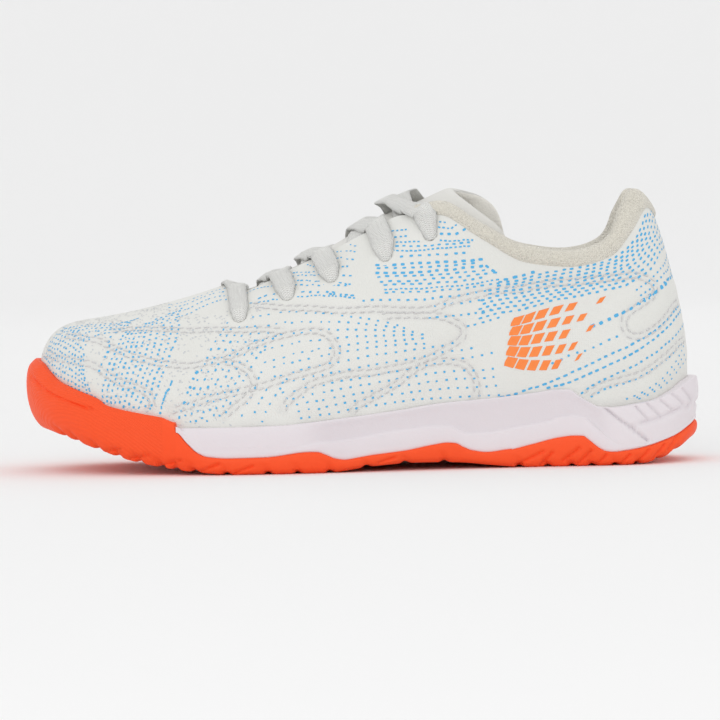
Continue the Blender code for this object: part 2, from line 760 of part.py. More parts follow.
def make_tongue(home, finish):
    arcs = [tongue_arc(place) for place in (1.2, 1.9, 2.7, 3.6, 4.6, 5.6, 6.5)]
    arcs += [tongue_top_arc(row) for row in TONGUE_ROWS]
    sections = []
    for i, arc in enumerate(arcs):
        before, after = arcs[max(i - 1, 0)], arcs[min(i + 1, len(arcs) - 1)]
        lining = []
        for j, point in enumerate(arc):
            along = after[j] - before[j]
            across = arc[min(j + 1, len(arc) - 1)] - arc[max(j - 1, 0)]
            inwards = across.cross(along).normalized()
            taper = 0.55 if j in (0, len(arc) - 1) or i in (0, len(arcs) - 1) else 1.0
            lining.append(point + inwards * TONGUE_THICK * taper)
        sections.append(arc + lining[::-1])
    return add_object("tongue", bar("tongue", sections, True), home, finish)


def lacing_bed():
    """Surface that the laces lie on: the eyestays with the tongue between them."""
    points, faces = [], []

    def sheet(rows):
        first = len(points)
        wide = len(rows[0])
        for row in rows:
            points.extend(row)
        for i in range(len(rows) - 1):
            for j in range(wide - 1):
                a = first + i * wide + j
                faces.append((a, a + 1, a + wide + 1, a + wide))

    for side in (-1, 1):
        places = [side * i * 0.2 for i in range(48)]
        sheet([[upper_point(p, 0.2 + 0.8 * k / 30) for k in range(31)] for p in places])
    arcs = [tongue_arc(0.8 + 0.3 * i) for i in range(20)]
    sheet(arcs + [tongue_top_arc(row) for row in TONGUE_ROWS])
    return BVHTree.FromPolygons(points, faces)


def taut_line(bed, spots, lift):
    """Points over the bed above the spots in plan, pulled tight across its hollows."""
    down = Vector((0.0, 0.0, -1.0))
    fine = []
    for first, last in zip(spots, spots[1:]):
        fine += [first.lerp(last, i / 4) for i in range(4)]
    fine.append(spots[-1])
    found = []
    for i, spot in enumerate(fine):
        hit, normal, _, _ = bed.ray_cast(Vector((spot.x, spot.y, 2 * TONGUE_HEIGHT)), down)
        if hit:
            fine[i] = hit + Vector((0.0, 0.0, lift / max(abs(normal.z), 0.4)))
            found.append(i)
    for i, point in enumerate(fine):
        point.z = fine[min(found, key=lambda k: abs(k - i))].z
    heights = [point.z for point in fine]
    for i, point in enumerate(fine):
        for a in range(i):
            for b in range(i + 1, len(fine)):
                chord = heights[a] + (heights[b] - heights[a]) * (i - a) / (b - a)
                point.z = max(point.z, chord)
    line = fine[::4]
    over = max(fine[4 * i + k].z - line[i].z - (line[i + 1].z - line[i].z) * k / 4
               for i in range(len(line) - 1) for k in range(4))
    return [point + Vector((0.0, 0.0, over)) for point in line]


def lace_band(bed, side, index, lift):
    """Flat band from an eyelet over the tongue's ridge to the throat's other edge."""
    place, share = EYELET_SPOTS[index]
    eyelet = EYELETS[index]
    start = upper_point(side * place, share + LACE_START)
    ridge = eyelet.along - eyelet.lean
    middle = Vector((at_along(ridge), throat_middle(ridge), 0.0))
    if index:
        end = upper_edge(-side * edge_place(eyelet.along - eyelet.tail))
        end.y -= side * 0.0036
    else:
        end = upper_point(-side * place, share + LACE_START)
    joints = [start, middle, end]
    joints = [Vector((joint.x, joint.y, 0.0)) for joint in joints]
    count = 15 if index == 0 else 13
    spots, widths = [], []
    for i in range(count):
        gone = i / (count - 1) * (len(joints) - 1)
        k = min(int(gone), len(joints) - 2)
        on_line = joints[k].lerp(joints[k + 1], gone - k)
        spots.append(on_line.lerp(joints[0].lerp(joints[2], gone / 2), LACE_STRAIGHT))
        nearest = min(i, count - 1 - i) if index == 0 else i
        widths.append((0.45, 0.85, 1.0)[min(nearest, 2)])
    rails = []
    for way in (-1, 0, 1):
        rail = []
        for i, (spot, width) in enumerate(zip(spots, widths)):
            run = (spots[min(i + 1, count - 1)] - spots[max(i - 1, 0)]).normalized()
            rail.append(spot + Vector((-run.y, run.x, 0.0)) * way * width * LACE_WIDTH / 2)
        rails.append(taut_line(bed, rail, LACE_CLEARANCE))
    sections = []
    for i, (left, middle, right) in enumerate(zip(*rails)):
        raised = max(0.0, middle.z - (left.z + right.z) / 2)
        left.z += raised
        right.z += raised
    for i, (left, _, right) in enumerate(zip(*rails)):
        before, after = rails[0][max(i - 1, 0)], rails[0][min(i + 1, count - 1)]
        normal = (after - before).cross(right - left).normalized()
        normal = -normal if normal.z < 0 else normal
        raised = lift * math.sin(math.pi * i / (count - 1))
        low, high = normal * raised, normal * (raised + LACE_THICK)
        sections.append([left + low, right + low, right + high, left + high])
    return bar("lace_band", sections)


def make_laces(home, tools, finish):
    bed = lacing_bed()
    add_object("lace_bar", lace_band(bed, -1, 0, 0.0), home, finish)
    for index in range(1, len(EYELETS)):
        over = add_object(f"lace_cross_{index}", lace_band(bed, -1, index, 0.0010), home, finish)
        under = add_object(f"lace_under_{index}", lace_band(bed, 1, index, 0.0), tools)
        add_boolean(over, under, "UNION")


def make_shoe():
    for old in list(bpy.data.objects):
        bpy.data.objects.remove(old)
    home, tools = collection("indoor_court_shoe"), collection("cutters")
    white = material("printed_upper", (0.80, 0.81, 0.78), 0.62)
    rubber = material("rubber_outsole", (0.95, 0.12, 0.045), 0.45)
    foam = material("moulded_midsole", (0.78, 0.72, 0.74), 0.55)
    knit = material("collar_knit", (0.72, 0.69, 0.62), 0.90)
    smooth_white = material("tongue_cover", (0.76, 0.75, 0.72), 0.70)
    braid = material("braided_lace", (0.68, 0.69, 0.66), 0.80)
    board = material("insole_cloth", (0.75, 0.74, 0.70), 0.85)
    make_outsole(home, tools, rubber)
    make_midsole(home, foam)
    make_insole(home, board)
    make_upper(home, tools, white)
    make_collar_pad(home, knit)
    make_tongue(home, smooth_white)
    make_laces(home, tools, braid)
    for tool in tools.objects:
        tool.hide_render = True
        tool.display_type = "WIRE"


make_shoe()
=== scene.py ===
import json
import math

import bmesh
import bpy
import numpy as np
from mathutils import Matrix, Quaternion, Vector
from mathutils.bvhtree import BVHTree
from mathutils.kdtree import KDTree

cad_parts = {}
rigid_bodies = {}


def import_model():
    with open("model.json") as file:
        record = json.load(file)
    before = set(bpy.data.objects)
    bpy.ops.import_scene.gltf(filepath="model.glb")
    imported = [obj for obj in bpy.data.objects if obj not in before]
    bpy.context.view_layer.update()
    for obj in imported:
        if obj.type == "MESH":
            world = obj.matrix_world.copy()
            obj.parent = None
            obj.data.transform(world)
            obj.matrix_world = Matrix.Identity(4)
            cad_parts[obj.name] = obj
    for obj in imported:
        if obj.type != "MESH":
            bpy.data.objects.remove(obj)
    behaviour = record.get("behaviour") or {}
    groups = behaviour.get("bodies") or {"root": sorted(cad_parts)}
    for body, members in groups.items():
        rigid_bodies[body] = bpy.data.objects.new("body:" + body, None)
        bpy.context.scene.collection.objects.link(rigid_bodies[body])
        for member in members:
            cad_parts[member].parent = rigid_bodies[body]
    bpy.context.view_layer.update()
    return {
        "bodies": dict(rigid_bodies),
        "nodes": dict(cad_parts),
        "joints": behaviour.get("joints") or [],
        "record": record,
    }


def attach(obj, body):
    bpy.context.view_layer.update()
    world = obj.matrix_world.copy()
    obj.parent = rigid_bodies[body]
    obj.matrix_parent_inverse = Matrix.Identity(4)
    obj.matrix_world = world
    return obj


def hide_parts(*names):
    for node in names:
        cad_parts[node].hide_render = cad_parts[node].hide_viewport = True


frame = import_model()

print("stage: frame loaded")

# the shoe's own measures, the same as in the CAD model, in metres
shoe = {
    "length": 0.228, "ball": 0.084, "collar": 0.086, "tongueTop": 0.0938,
    "toeSpring": 0.0145, "boardFore": 0.0105, "boardHeel": 0.0165,
    "wall": 0.0018, "outsole": 0.0036, "bumper": 0.0375, "bumperEnd": 0.228, "flare": 0.0012,
    "rim": 0.0262, "rimWall": 0.0030, "step": 0.0010, "edge": 0.0030, "gap": 0.0003,
}
last = 15       # ring place of the heel's back; 0 is the toe tip, below 0 the outer side

# the upper's sections, one at each ring place from the toe tip to the heel's back:
# footAlong, topAlong, topHalf, topHeight, reach, square, turn, ramp, bulge
sections = np.array([
    (0.000, 0.308, 0.000, 0.728, 0.30, 3.2, 1.00, 0.32, 0.0014),
    (0.022, 0.314, 0.092, 0.718, 0.34, 3.0, 1.00, 0.32, 0.0014),
    (0.085, 0.333, 0.140, 0.700, 0.50, 2.7, 1.00, 0.34, 0.0015),
    (0.170, 0.372, 0.152, 0.742, 0.72, 2.4, 1.00, 0.38, 0.0017),
    (0.265, 0.420, 0.160, 0.804, 0.90, 2.2, 1.00, 0.40, 0.0020),
    (0.360, 0.469, 0.170, 0.862, 1.00, 2.1, 1.00, 0.38, 0.0022),
    (0.450, 0.518, 0.188, 0.926, 1.00, 2.1, 1.00, 0.31, 0.0024),
    (0.535, 0.566, 0.216, 0.984, 1.00, 2.1, 0.97, 0.21, 0.0025),
    (0.610, 0.618, 0.266, 0.990, 1.00, 2.1, 0.86, 0.09, 0.0023),
    (0.685, 0.680, 0.306, 0.895, 1.00, 2.1, 0.72, 0.00, 0.0021),
    (0.755, 0.746, 0.324, 0.798, 1.00, 2.1, 0.66, 0.00, 0.0021),
    (0.825, 0.811, 0.320, 0.776, 1.00, 2.1, 0.66, 0.00, 0.0021),
    (0.888, 0.868, 0.276, 0.812, 1.00, 2.0, 0.66, 0.00, 0.0021),
    (0.940, 0.900, 0.228, 0.902, 1.00, 2.0, 0.68, 0.00, 0.0021),
    (0.982, 0.926, 0.155, 1.000, 1.00, 1.9, 0.70, 0.00, 0.0021),
    (1.000, 0.941, 0.000, 0.960, 1.00, 1.9, 0.70, 0.00, 0.0021),
])
column = dict(footAlong=0, topAlong=1, topHalf=2, topHeight=3, reach=4, square=5, turn=6, ramp=7,
              bulge=8)

# curves along the length: (share of the length, value)
curves = {
    "fullness": ((0.00, 1.50), (0.09, 1.33), (0.20, 1.155), (0.30, 1.08), (0.40, 0.975),
                 (0.50, 0.865), (0.64, 0.780), (0.74, 0.815), (0.84, 0.98), (0.93, 1.19),
                 (1.00, 1.33)),
    "sway": ((0.00, 0.083), (0.10, 0.057), (0.22, 0.018), (0.33, -0.006), (0.45, -0.027),
             (0.57, -0.024), (0.70, -0.010), (0.83, 0.0), (1.00, 0.0)),
    "treadLift": ((0.00, 1.00), (0.05, 0.84), (0.10, 0.60), (0.15, 0.36), (0.20, 0.19),
                  (0.26, 0.06), (0.31, 0.0), (0.45, 0.0), (0.52, 0.12), (0.58, 0.17),
                  (0.64, 0.15), (0.70, 0.05), (0.74, 0.0), (0.90, 0.0), (0.94, 0.07),
                  (0.97, 0.22), (1.00, 0.45)),
    "boardRise": ((0.25, 0.0), (0.40, 0.12), (0.60, 0.65), (0.78, 1.0), (1.00, 1.0)),
    "footInset": ((0.00, 1.95), (0.12, 1.48), (0.26, 1.34), (0.60, 1.40), (0.80, 1.50),
                  (1.00, 1.56)),
    "rubberTop": ((0.228, 3.60), (0.247, 2.55), (0.262, 1.80), (0.276, 1.56), (0.300, 1.55),
                  (0.360, 1.60), (0.425, 2.00), (0.436, 1.98), (0.448, 1.72), (0.462, 1.32),
                  (0.481, 1.06), (0.500, 1.08), (0.560, 1.20), (0.604, 1.66), (0.626, 1.86),
                  (0.637, 1.82), (0.648, 1.50), (0.661, 1.24), (0.676, 1.18), (0.712, 1.60),
                  (0.753, 2.20), (0.790, 2.74), (0.810, 2.86), (0.823, 2.83), (0.834, 2.36),
                  (0.847, 1.70), (0.859, 1.34), (0.870, 1.28), (0.890, 1.40), (0.917, 1.68),
                  (0.943, 2.12), (0.968, 2.68), (0.987, 3.35), (1.000, 3.80)),
    "bumperTop": ((0.000, 1.00), (0.010, 0.98), (0.024, 0.91), (0.043, 0.825), (0.060, 0.780),
                  (0.080, 0.735), (0.102, 0.690), (0.112, 0.660), (0.122, 0.615), (0.150, 0.570),
                  (0.182, 0.532), (0.206, 0.505), (0.228, 0.460)),
    "rimTop": ((0.206, 0.590), (0.228, 0.600), (0.300, 0.603), (0.380, 0.615), (0.436, 0.655),
               (0.485, 0.700), (0.560, 0.775), (0.614, 0.842), (0.667, 0.877), (0.714, 0.910),
               (0.760, 0.955), (0.785, 0.985), (0.804, 0.983), (0.820, 0.893), (0.836, 0.808),
               (0.849, 0.755), (0.871, 0.745), (0.903, 0.778), (0.936, 0.822), (0.953, 0.882),
               (0.970, 0.957), (0.983, 1.030), (1.000, 1.080)),
}


def clamp(value, low=0.0, high=1.0):
    return min(max(value, low), high)


def smoothCurve(points, at, flatEnds=True):
    # a curve through the points that never swings past them
    if at <= points[0][0]:
        return points[0][1]
    if at >= points[-1][0]:
        return points[-1][1]
    steps = [b[0] - a[0] for a, b in zip(points, points[1:])]
    slopes = [(b[1] - a[1]) / step for a, b, step in zip(points, points[1:], steps)]
    k = max(i for i in range(len(steps)) if points[i][0] <= at)

    def tangent(i):
        if i == 0 or i == len(steps):
            return 0.0 if flatEnds else slopes[0 if i == 0 else -1]
        before, after = slopes[i - 1], slopes[i]
        if before * after <= 0:
            return 0.0
        return 2 * before * after / (before + after)

    share = (at - points[k][0]) / steps[k]
    low, high = points[k][1], points[k + 1][1]
    rise = high - low
    into, out = tangent(k) * steps[k], tangent(k + 1) * steps[k]
    return low + share * (into + share * (3 * rise - 2 * into - out + share * (into + out - 2 * rise)))


def sectionValue(name, place, flatEnds=True):
    points = list(enumerate(sections[:, column[name]]))
    return smoothCurve(points, abs(folded(place)), flatEnds)


def folded(place):
    return (place + last) % (2 * last) - last


def halfWidth(along):
    roundEnds = 2 * math.sqrt(max(along * (1 - along), 0.0))
    return shoe["ball"] / 2 * smoothCurve(curves["fullness"], along, False) * roundEnds


def sway(along):
    return shoe["ball"] * smoothCurve(curves["sway"], along)


alongs = [i / 200 for i in range(201)]
outlineMiddle = (min(sway(along) - halfWidth(along) for along in alongs)
                 + max(sway(along) + halfWidth(along) for along in alongs)) / 2


def middleLine(along):
    return sway(along) - outlineMiddle


def atAlong(along):
    return (along - 0.5) * shoe["length"]


def outline(place):
    place = folded(place)
    along = sectionValue("footAlong", place)
    side = math.copysign(1.0, place)
    return Vector((atAlong(along), middleLine(along) + side * halfWidth(along), 0.0))


def treadLevel(along):
    return shoe["toeSpring"] * smoothCurve(curves["treadLift"], along)


def boardLevel(along):
    rise = smoothCurve(curves["boardRise"], along)
    lift = treadLevel(along) * 0.82 if along < 0.4 else 0.0
    return shoe["boardFore"] + (shoe["boardHeel"] - shoe["boardFore"]) * rise + lift


def rubberTop(along):
    if along < shoe["bumperEnd"]:
        return shoe["bumper"] * smoothCurve(curves["bumperTop"], along)
    base = treadLevel(along) if along < 0.72 else 0.0
    return base + shoe["outsole"] * smoothCurve(curves["rubberTop"], along)


def rimTop(along):
    return shoe["rim"] * smoothCurve(curves["rimTop"], along)


def throatMiddle(along):
    # the throat leans a little to the inner side towards the toe
    return shoe["ball"] * 0.022 * clamp((0.6 - along) / 0.3)


class Column:
    # everything that depends on the ring place alone, worked out once

    kept = {}

    def __init__(self, place):
        place = folded(place)
        self.place = place
        self.along = sectionValue("footAlong", place)
        run = outline(place + 0.01) - outline(place - 0.01)
        self.out = Vector((-run.y, run.x, 0.0)).normalized()
        self.ground = outline(place)
        self.inset = shoe["rimWall"] * smoothCurve(curves["footInset"], self.along)
        self.foot = self.solePoint(self.inset, boardLevel(self.along) + shoe["gap"])
        top = sectionValue("topAlong", place)
        half = shoe["ball"] * sectionValue("topHalf", place, False)
        side = math.copysign(1.0, place)
        height = shoe["collar"] * sectionValue("topHeight", place)
        self.edge = Vector((atAlong(top), throatMiddle(top) + side * half, height))
        for name in ("reach", "square", "turn", "ramp", "bulge"):
            setattr(self, name, sectionValue(name, place))

    def solePoint(self, inset, height):
        point = self.ground - self.out * inset
        point.z = height
        return point

    def profile(self, shares):
        # points of the upper's outer surface, foot to edge
        wall = math.sqrt(self.reach)
        inwall = np.minimum(shares / wall, 1.0)
        angle = inwall * self.turn * math.pi / 2

        def quarter(a):
            across, up = np.cos(a), np.sin(a)
            span = (np.abs(across) ** self.square + up ** self.square) ** (1 / self.square)
            return across / span, up / span

        endAcross, endUp = quarter(np.array(self.turn * math.pi / 2))
        across, up = quarter(angle)
        inward = self.reach * (1 - across) / (1 - endAcross)
        beyond = np.clip((shares - wall) / max(1 - wall, 1e-4), 0.0, 1.0)
        inward = inward + (1 - self.reach) * beyond
        rise = (1 - self.ramp) * up / endUp + self.ramp * np.maximum(inward, 0.0) ** 1.7
        foot, edge, out = (np.array(v) for v in (self.foot, self.edge, self.out))
        points = foot + (edge - foot) * inward[:, None]
        points[:, 2] = foot[2] + (edge[2] - foot[2]) * rise
        bump = shares * (1 - shares) ** 3 / 0.1055  # 1 at its peak
        return points + out * (self.bulge * bump)[:, None]


def columnAt(place):
    key = round(folded(place), 4)
    if key not in Column.kept:
        Column.kept[key] = Column(key)
    return Column.kept[key]


def upperPoint(place, share):
    return Vector(columnAt(place).profile(np.array([share]))[0])


def upperNormal(place, share):
    share = clamp(share, 0.005, 0.995)
    across = upperPoint(place + 0.02, share) - upperPoint(place - 0.02, share)
    up = upperPoint(place, share + 0.005) - upperPoint(place, share - 0.005)
    return up.cross(across).normalized()


def lengthsAlong(points):
    steps = np.linalg.norm(np.diff(points, axis=0), axis=1)
    return np.concatenate(([0.0], np.cumsum(steps)))


fineShares = np.linspace(0.0, 1.0, 201)


def shareAtHeight(place, height):
    line = columnAt(place).profile(fineShares)
    top = int(np.argmax(line[:, 2]))
    return float(np.interp(height, line[:top + 1, 2], fineShares[:top + 1]))


def shareBelowEdge(place, distance):
    line = columnAt(place).profile(fineShares)[::-1]
    return float(np.interp(distance, lengthsAlong(line), fineShares[::-1]))


def insideUpper(place, share, depth):
    return upperPoint(place, share) - upperNormal(place, share) * depth


def searchPlace(isBefore):
    # the ring place, past the toe tip and before the collar, where the test turns false
    low, high = 1.0, 9.0
    for _ in range(24):
        middle = (low + high) / 2
        if isBefore(middle):
            low = middle
        else:
            high = middle
    return low


# small tools for shapes


def bell(away, width):
    return math.exp(-(away / width) ** 2)


def addObject(name, data):
    made = bpy.data.objects.new(name, data)
    bpy.context.scene.collection.objects.link(made)
    return made


def dressPiece(name, mesh, finishes, replaced=()):
    piece = addObject(name, mesh)
    for finish in finishes:
        mesh.materials.append(finish)
    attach(piece, "root")
    if replaced:
        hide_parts(*replaced)
    return piece


def addPiece(name, form, finishes, replaced=(), smoothAngle=60):
    mesh = bpy.data.meshes.new(name)
    form.to_mesh(mesh)
    form.free()
    mesh.shade_smooth()
    mesh.set_sharp_from_angle(angle=math.radians(smoothAngle))
    return dressPiece(name, mesh, finishes, replaced)


def formSheet(form, points, closedAcross=False, closedUp=False, finish=0, flip=False):
    # a grid laid on rows of points: points[i, j], i across and j up
    across, up = points.shape[0], points.shape[1]
    wide, tall = across - (0 if closedAcross else 1), up - (0 if closedUp else 1)
    made = bmesh.ops.create_grid(form, x_segments=wide, y_segments=tall, size=0.5, calc_uvs=True)
    for vert in made["verts"]:
        i = int(round((vert.co.x + 0.5) * wide)) % across
        j = int(round((vert.co.y + 0.5) * tall)) % up
        vert.co = points[i, j]
    faces = list({face for vert in made["verts"] for face in vert.link_faces})
    for face in faces:
        face.material_index = finish
    if closedAcross or closedUp:
        bmesh.ops.remove_doubles(form, verts=made["verts"], dist=1e-7)
        faces = [face for face in faces if face.is_valid]
    if flip:
        bmesh.ops.reverse_faces(form, faces=faces)
    return faces


def newForm():
    form = bmesh.new()
    form.loops.layers.uv.new("surface")
    return form


def closeForm(form):
    bmesh.ops.holes_fill(form, edges=[edge for edge in form.edges if edge.is_boundary], sides=0)
    bmesh.ops.recalc_face_normals(form, faces=form.faces)


def middleUp(face, place):
    # how far up its sheet a face lies
    return sum(loop[place].uv.y for loop in face.loops) / len(face.loops)


def pointTree(points):
    tree = KDTree(len(points))
    for i, point in enumerate(points):
        tree.insert(point, i)
    tree.balance()
    return tree


def refineLine(points, count, closed=False):
    # a smooth curve through the points, read at evenly spread steps
    points = np.asarray(points, float)
    n = len(points)
    at = np.linspace(0, n if closed else n - 1, count, endpoint=not closed)
    k = np.minimum(np.floor(at).astype(int), (n - 1) if closed else (n - 2))
    t = (at - k).reshape((-1,) + (1,) * (points.ndim - 1))

    def pick(i):
        return points[i % n] if closed else points[np.clip(i, 0, n - 1)]

    a, b, c, d = pick(k - 1), pick(k), pick(k + 1), pick(k + 2)
    if not closed:
        first, final = (k == 0), (k == n - 2)
        a = np.where(first.reshape(t.shape), 2 * b - c, a)
        d = np.where(final.reshape(t.shape), 2 * c - b, d)
    return 0.5 * (2 * b + (c - a) * t + (2 * a - 5 * b + 4 * c - d) * t ** 2
                  + (3 * b - a - 3 * c + d) * t ** 3)


def refineGrid(points, countAcross, countUp):
    grid = refineLine(points, countAcross)
    return refineLine(grid.transpose(1, 0, 2), countUp).transpose(1, 0, 2)


def scatter(name, shape, spots, finish):
    # copies of one small shape, each with its own matrix
    shapePoints = np.array([v.co for v in shape.verts])
    for i, vert in enumerate(shape.verts):
        vert.index = i
    shapeFaces = [[v.index for v in face.verts] for face in shape.faces]
    shape.free()
    frames = np.array([[list(row) for row in spot] for spot in spots])
    points = np.einsum("nij,kj->nki", frames[:, :3, :3], shapePoints) + frames[:, None, :3, 3]
    count = len(shapePoints)
    faces = [[i + n * count for i in face] for n in range(len(spots)) for face in shapeFaces]
    mesh = bpy.data.meshes.new(name)
    mesh.from_pydata(points.reshape(-1, 3).tolist(), [], faces)
    mesh.shade_smooth()
    return dressPiece(name, mesh, (finish,))


# finishes


class Finish:
    # a principled material with a few short ways to add nodes

    def __init__(self, name, colour, roughness, **sockets):
        self.material = bpy.data.materials.new(name)
        self.material.use_nodes = True
        self.tree = self.material.node_tree
        self.shader = self.tree.nodes["Principled BSDF"]
        self.shader.inputs["Base Color"].default_value = colour
        self.shader.inputs["Roughness"].default_value = roughness
        for socket, value in sockets.items():
            self.shader.inputs[socket.replace("_", " ")].default_value = value
        self.height = None
        place = self.add("ShaderNodeTexCoord")
        self.objectPlace = place.outputs["Object"]
        self.surfacePlace = place.outputs["UV"]

    def give(self, socket, value):
        # an output is linked to the socket, a number stands on it
        if hasattr(value, "is_output"):
            self.tree.links.new(value, socket)
        else:
            socket.default_value = value

    def add(self, kind, **values):
        node = self.tree.nodes.new(kind)
        for name, value in values.items():
            self.give(node.inputs[name], value)
        return node

    def attribute(self, name):
        node = self.add("ShaderNodeAttribute")
        node.attribute_name = name
        return node.outputs["Fac"]

    def noise(self, scale, detail=2):
        node = self.add("ShaderNodeTexNoise", Vector=self.objectPlace, Scale=scale, Detail=detail)
        return node.outputs["Fac"]

    def cells(self, scale):
        node = self.add("ShaderNodeTexVoronoi", Vector=self.objectPlace, Scale=scale)
        return node.outputs["Distance"]

    def waves(self, scale, direction="X", source=None):
        node = self.add("ShaderNodeTexWave", Vector=source or self.objectPlace, Scale=scale)
        node.bands_direction = direction
        return node.outputs["Fac"]

    def maths(self, operation, first, second):
        node = self.add("ShaderNodeMath")
        node.operation = operation
        self.give(node.inputs[0], first)
        self.give(node.inputs[1], second)
        return node.outputs[0]

    def between(self, fac, low, high):
        node = self.add("ShaderNodeMapRange", Value=fac)
        node.inputs["To Min"].default_value = low
        node.inputs["To Max"].default_value = high
        return node.outputs["Result"]

    def blend(self, fac, first, second):
        node = self.add("ShaderNodeMix")
        node.data_type = "RGBA"
        for i, value in ((0, fac), (6, first), (7, second)):
            self.give(node.inputs[i], value)
        return node.outputs[2]

    def tone(self, scale, detail, dark, light):
        # a soft drift between two screen colours
        return self.blend(self.noise(scale, detail), shade(*dark), shade(*light))

    def paint(self, colour):
        self.give(self.shader.inputs["Base Color"], colour)

    def rough(self, scale, low, high):
        self.give(self.shader.inputs["Roughness"], self.between(self.noise(scale), low, high))

    def relief(self, height, depth, strength):
        # bumps stack on each other
        node = self.add("ShaderNodeBump", Height=height, Distance=depth, Strength=strength)
        if self.height is not None:
            self.give(node.inputs["Normal"], self.height)
        self.height = node.outputs["Normal"]
        self.give(self.shader.inputs["Normal"], self.height)

    def grain(self, *layers):
        # bumps of noise: scale, detail, depth and strength of each
        for scale, detail, depth, strength in layers:
            self.relief(self.noise(scale, detail), depth, strength)

    def weave(self, scale, depth, strength):
        crossed = self.maths("MULTIPLY", self.waves(scale, "X"), self.waves(scale, "Z"))
        self.relief(crossed, depth, strength)


def shade(red, green, blue):
    # screen colour, 0 to 255, to the colour that light uses
    values = []
    for value in (red, green, blue):
        value /= 255
        values.append(value / 12.92 if value <= 0.04045 else ((value + 0.055) / 1.055) ** 2.4)
    return (*values, 1.0)


def makeSheetFinish():
    made = Finish("printedSheet", shade(222, 222, 217), 0.52, Specular_IOR_Level=0.35)
    made.weave(430, 0.00006, 0.5)
    made.grain((900, 3, 0.00010, 0.55), (60, 2, 0.0006, 0.25))
    cloud = made.tone(40, 3, (224, 224, 219), (232, 232, 228))
    # the sheet is painted darker along the stitched lines: painted shade of their grooves
    made.paint(made.blend(made.attribute("seamShade"), cloud, shade(206, 205, 206)))
    made.rough(300, 0.45, 0.62)
    return made.material


def makeLiningFinish():
    made = Finish("liningCloth", shade(214, 211, 200), 0.9, Sheen_Weight=0.2)
    made.weave(700, 0.00012, 0.7)
    made.paint(made.tone(120, 3, (206, 202, 190), (220, 217, 206)))
    return made.material


# knitted cloths: the loops' scale, depth and strength, finer bumps, two tones, and the tone between loops
knits = {
    "collarKnit": {"base": (218, 213, 198), "rough": 0.92, "sheen": 0.35, "loops": (1500, 0.00050, 1.0),
                   "grain": ((2600, 2, 0.00012, 0.6), (70, 2, 0.0008, 0.3)),
                   "tones": ((224, 219, 206), (236, 232, 221)), "between": (196, 190, 174), "most": 0.32},
    # the tongue's lining is the collar's knit painted lighter: painted light against the shade inside the
    # tongue
    "litTongueLining": {"base": (240, 237, 230), "rough": 0.9, "sheen": 0.3, "loops": (1700, 0.00020, 0.7),
                     "grain": (),
                     "tones": ((236, 233, 225), (244, 242, 236)), "between": (220, 216, 206), "most": 0.22},
}


def makeKnitFinish(name):
    knit = knits[name]
    made = Finish(name, shade(*knit["base"]), knit["rough"], Sheen_Weight=knit["sheen"])
    scale, depth, strength = knit["loops"]
    loops = made.cells(scale)
    made.relief(loops, depth, strength)
    made.grain(*knit["grain"])
    soft = made.tone(90, 3, *knit["tones"])
    made.paint(made.blend(made.between(loops, 0.0, knit["most"]), soft, shade(*knit["between"])))
    return made.material


def makeLaceFinish():
    # surface u runs round the braid, v along it
    made = Finish("laceBraid", shade(219, 219, 213), 0.82, Sheen_Weight=0.25)
    slants = []
    for lean in (1.0, -1.0):
        place = made.add("ShaderNodeMapping", Vector=made.surfacePlace, Scale=(lean, 1.6, 0.0))
        slants.append(made.waves(5.2, "DIAGONAL", place.outputs["Vector"]))
    braid = made.maths("MAXIMUM", *slants)
    made.relief(braid, 0.00030, 0.9)
    made.grain((2400, 2, 0.00010, 0.5))
    soft = made.tone(70, 2, (234, 234, 230), (243, 243, 240))
    made.paint(made.blend(made.between(braid, 0.40, 0.0), soft, shade(202, 201, 195)))
    return made.material


def makeFoamFinish():
    made = Finish("mouldedFoam", shade(230, 223, 227), 0.5, Specular_IOR_Level=0.4)
    made.grain((1600, 3, 0.00008, 0.5), (45, 2, 0.0005, 0.25))
    cloud = made.tone(30, 3, (226, 218, 223), (234, 228, 231))
    # painted shade: darker above the ledge and in the heel clip's creases
    made.paint(made.blend(made.attribute("sunkShade"), cloud, shade(203, 194, 200)))
    made.rough(200, 0.42, 0.6)
    return made.material


def makeRubberFinish():
    made = Finish("outsoleRubber", shade(255, 88, 40), 0.55, Specular_IOR_Level=0.25)
    # fine slanted lines on the toe only
    place = made.add("ShaderNodeSeparateXYZ", Vector=made.objectPlace)
    toe = made.maths("LESS_THAN", place.outputs["X"], -0.066)
    made.relief(made.maths("MULTIPLY", made.waves(560, "DIAGONAL"), toe), 0.00022, 0.5)
    made.grain((1300, 3, 0.00008, 0.5), (60, 2, 0.0004, 0.25))
    made.paint(made.tone(25, 2, (254, 83, 34), (255, 92, 44)))
    made.rough(260, 0.46, 0.64)
    return made.material


def makeThreadFinish():
    made = Finish("stitchThread", shade(210, 208, 202), 0.7, Sheen_Weight=0.2)
    made.relief(made.waves(3000, "X"), 0.00006, 0.6)
    made.paint(made.tone(200, 2, (215, 214, 214), (228, 227, 227)))
    return made.material


def makePlainFinish(name, colour, roughness, grain, tone, **sockets):
    made = Finish(name, shade(*colour), roughness, **sockets)
    made.grain(*grain)
    made.paint(made.tone(*tone))
    return made.material


def makeInkFinish(name, colour, deeper):
    return makePlainFinish(name, colour, 0.5, ((1500, 2, 0.00005, 0.4),), (400, 2, colour, deeper),
                           Specular_IOR_Level=0.35)


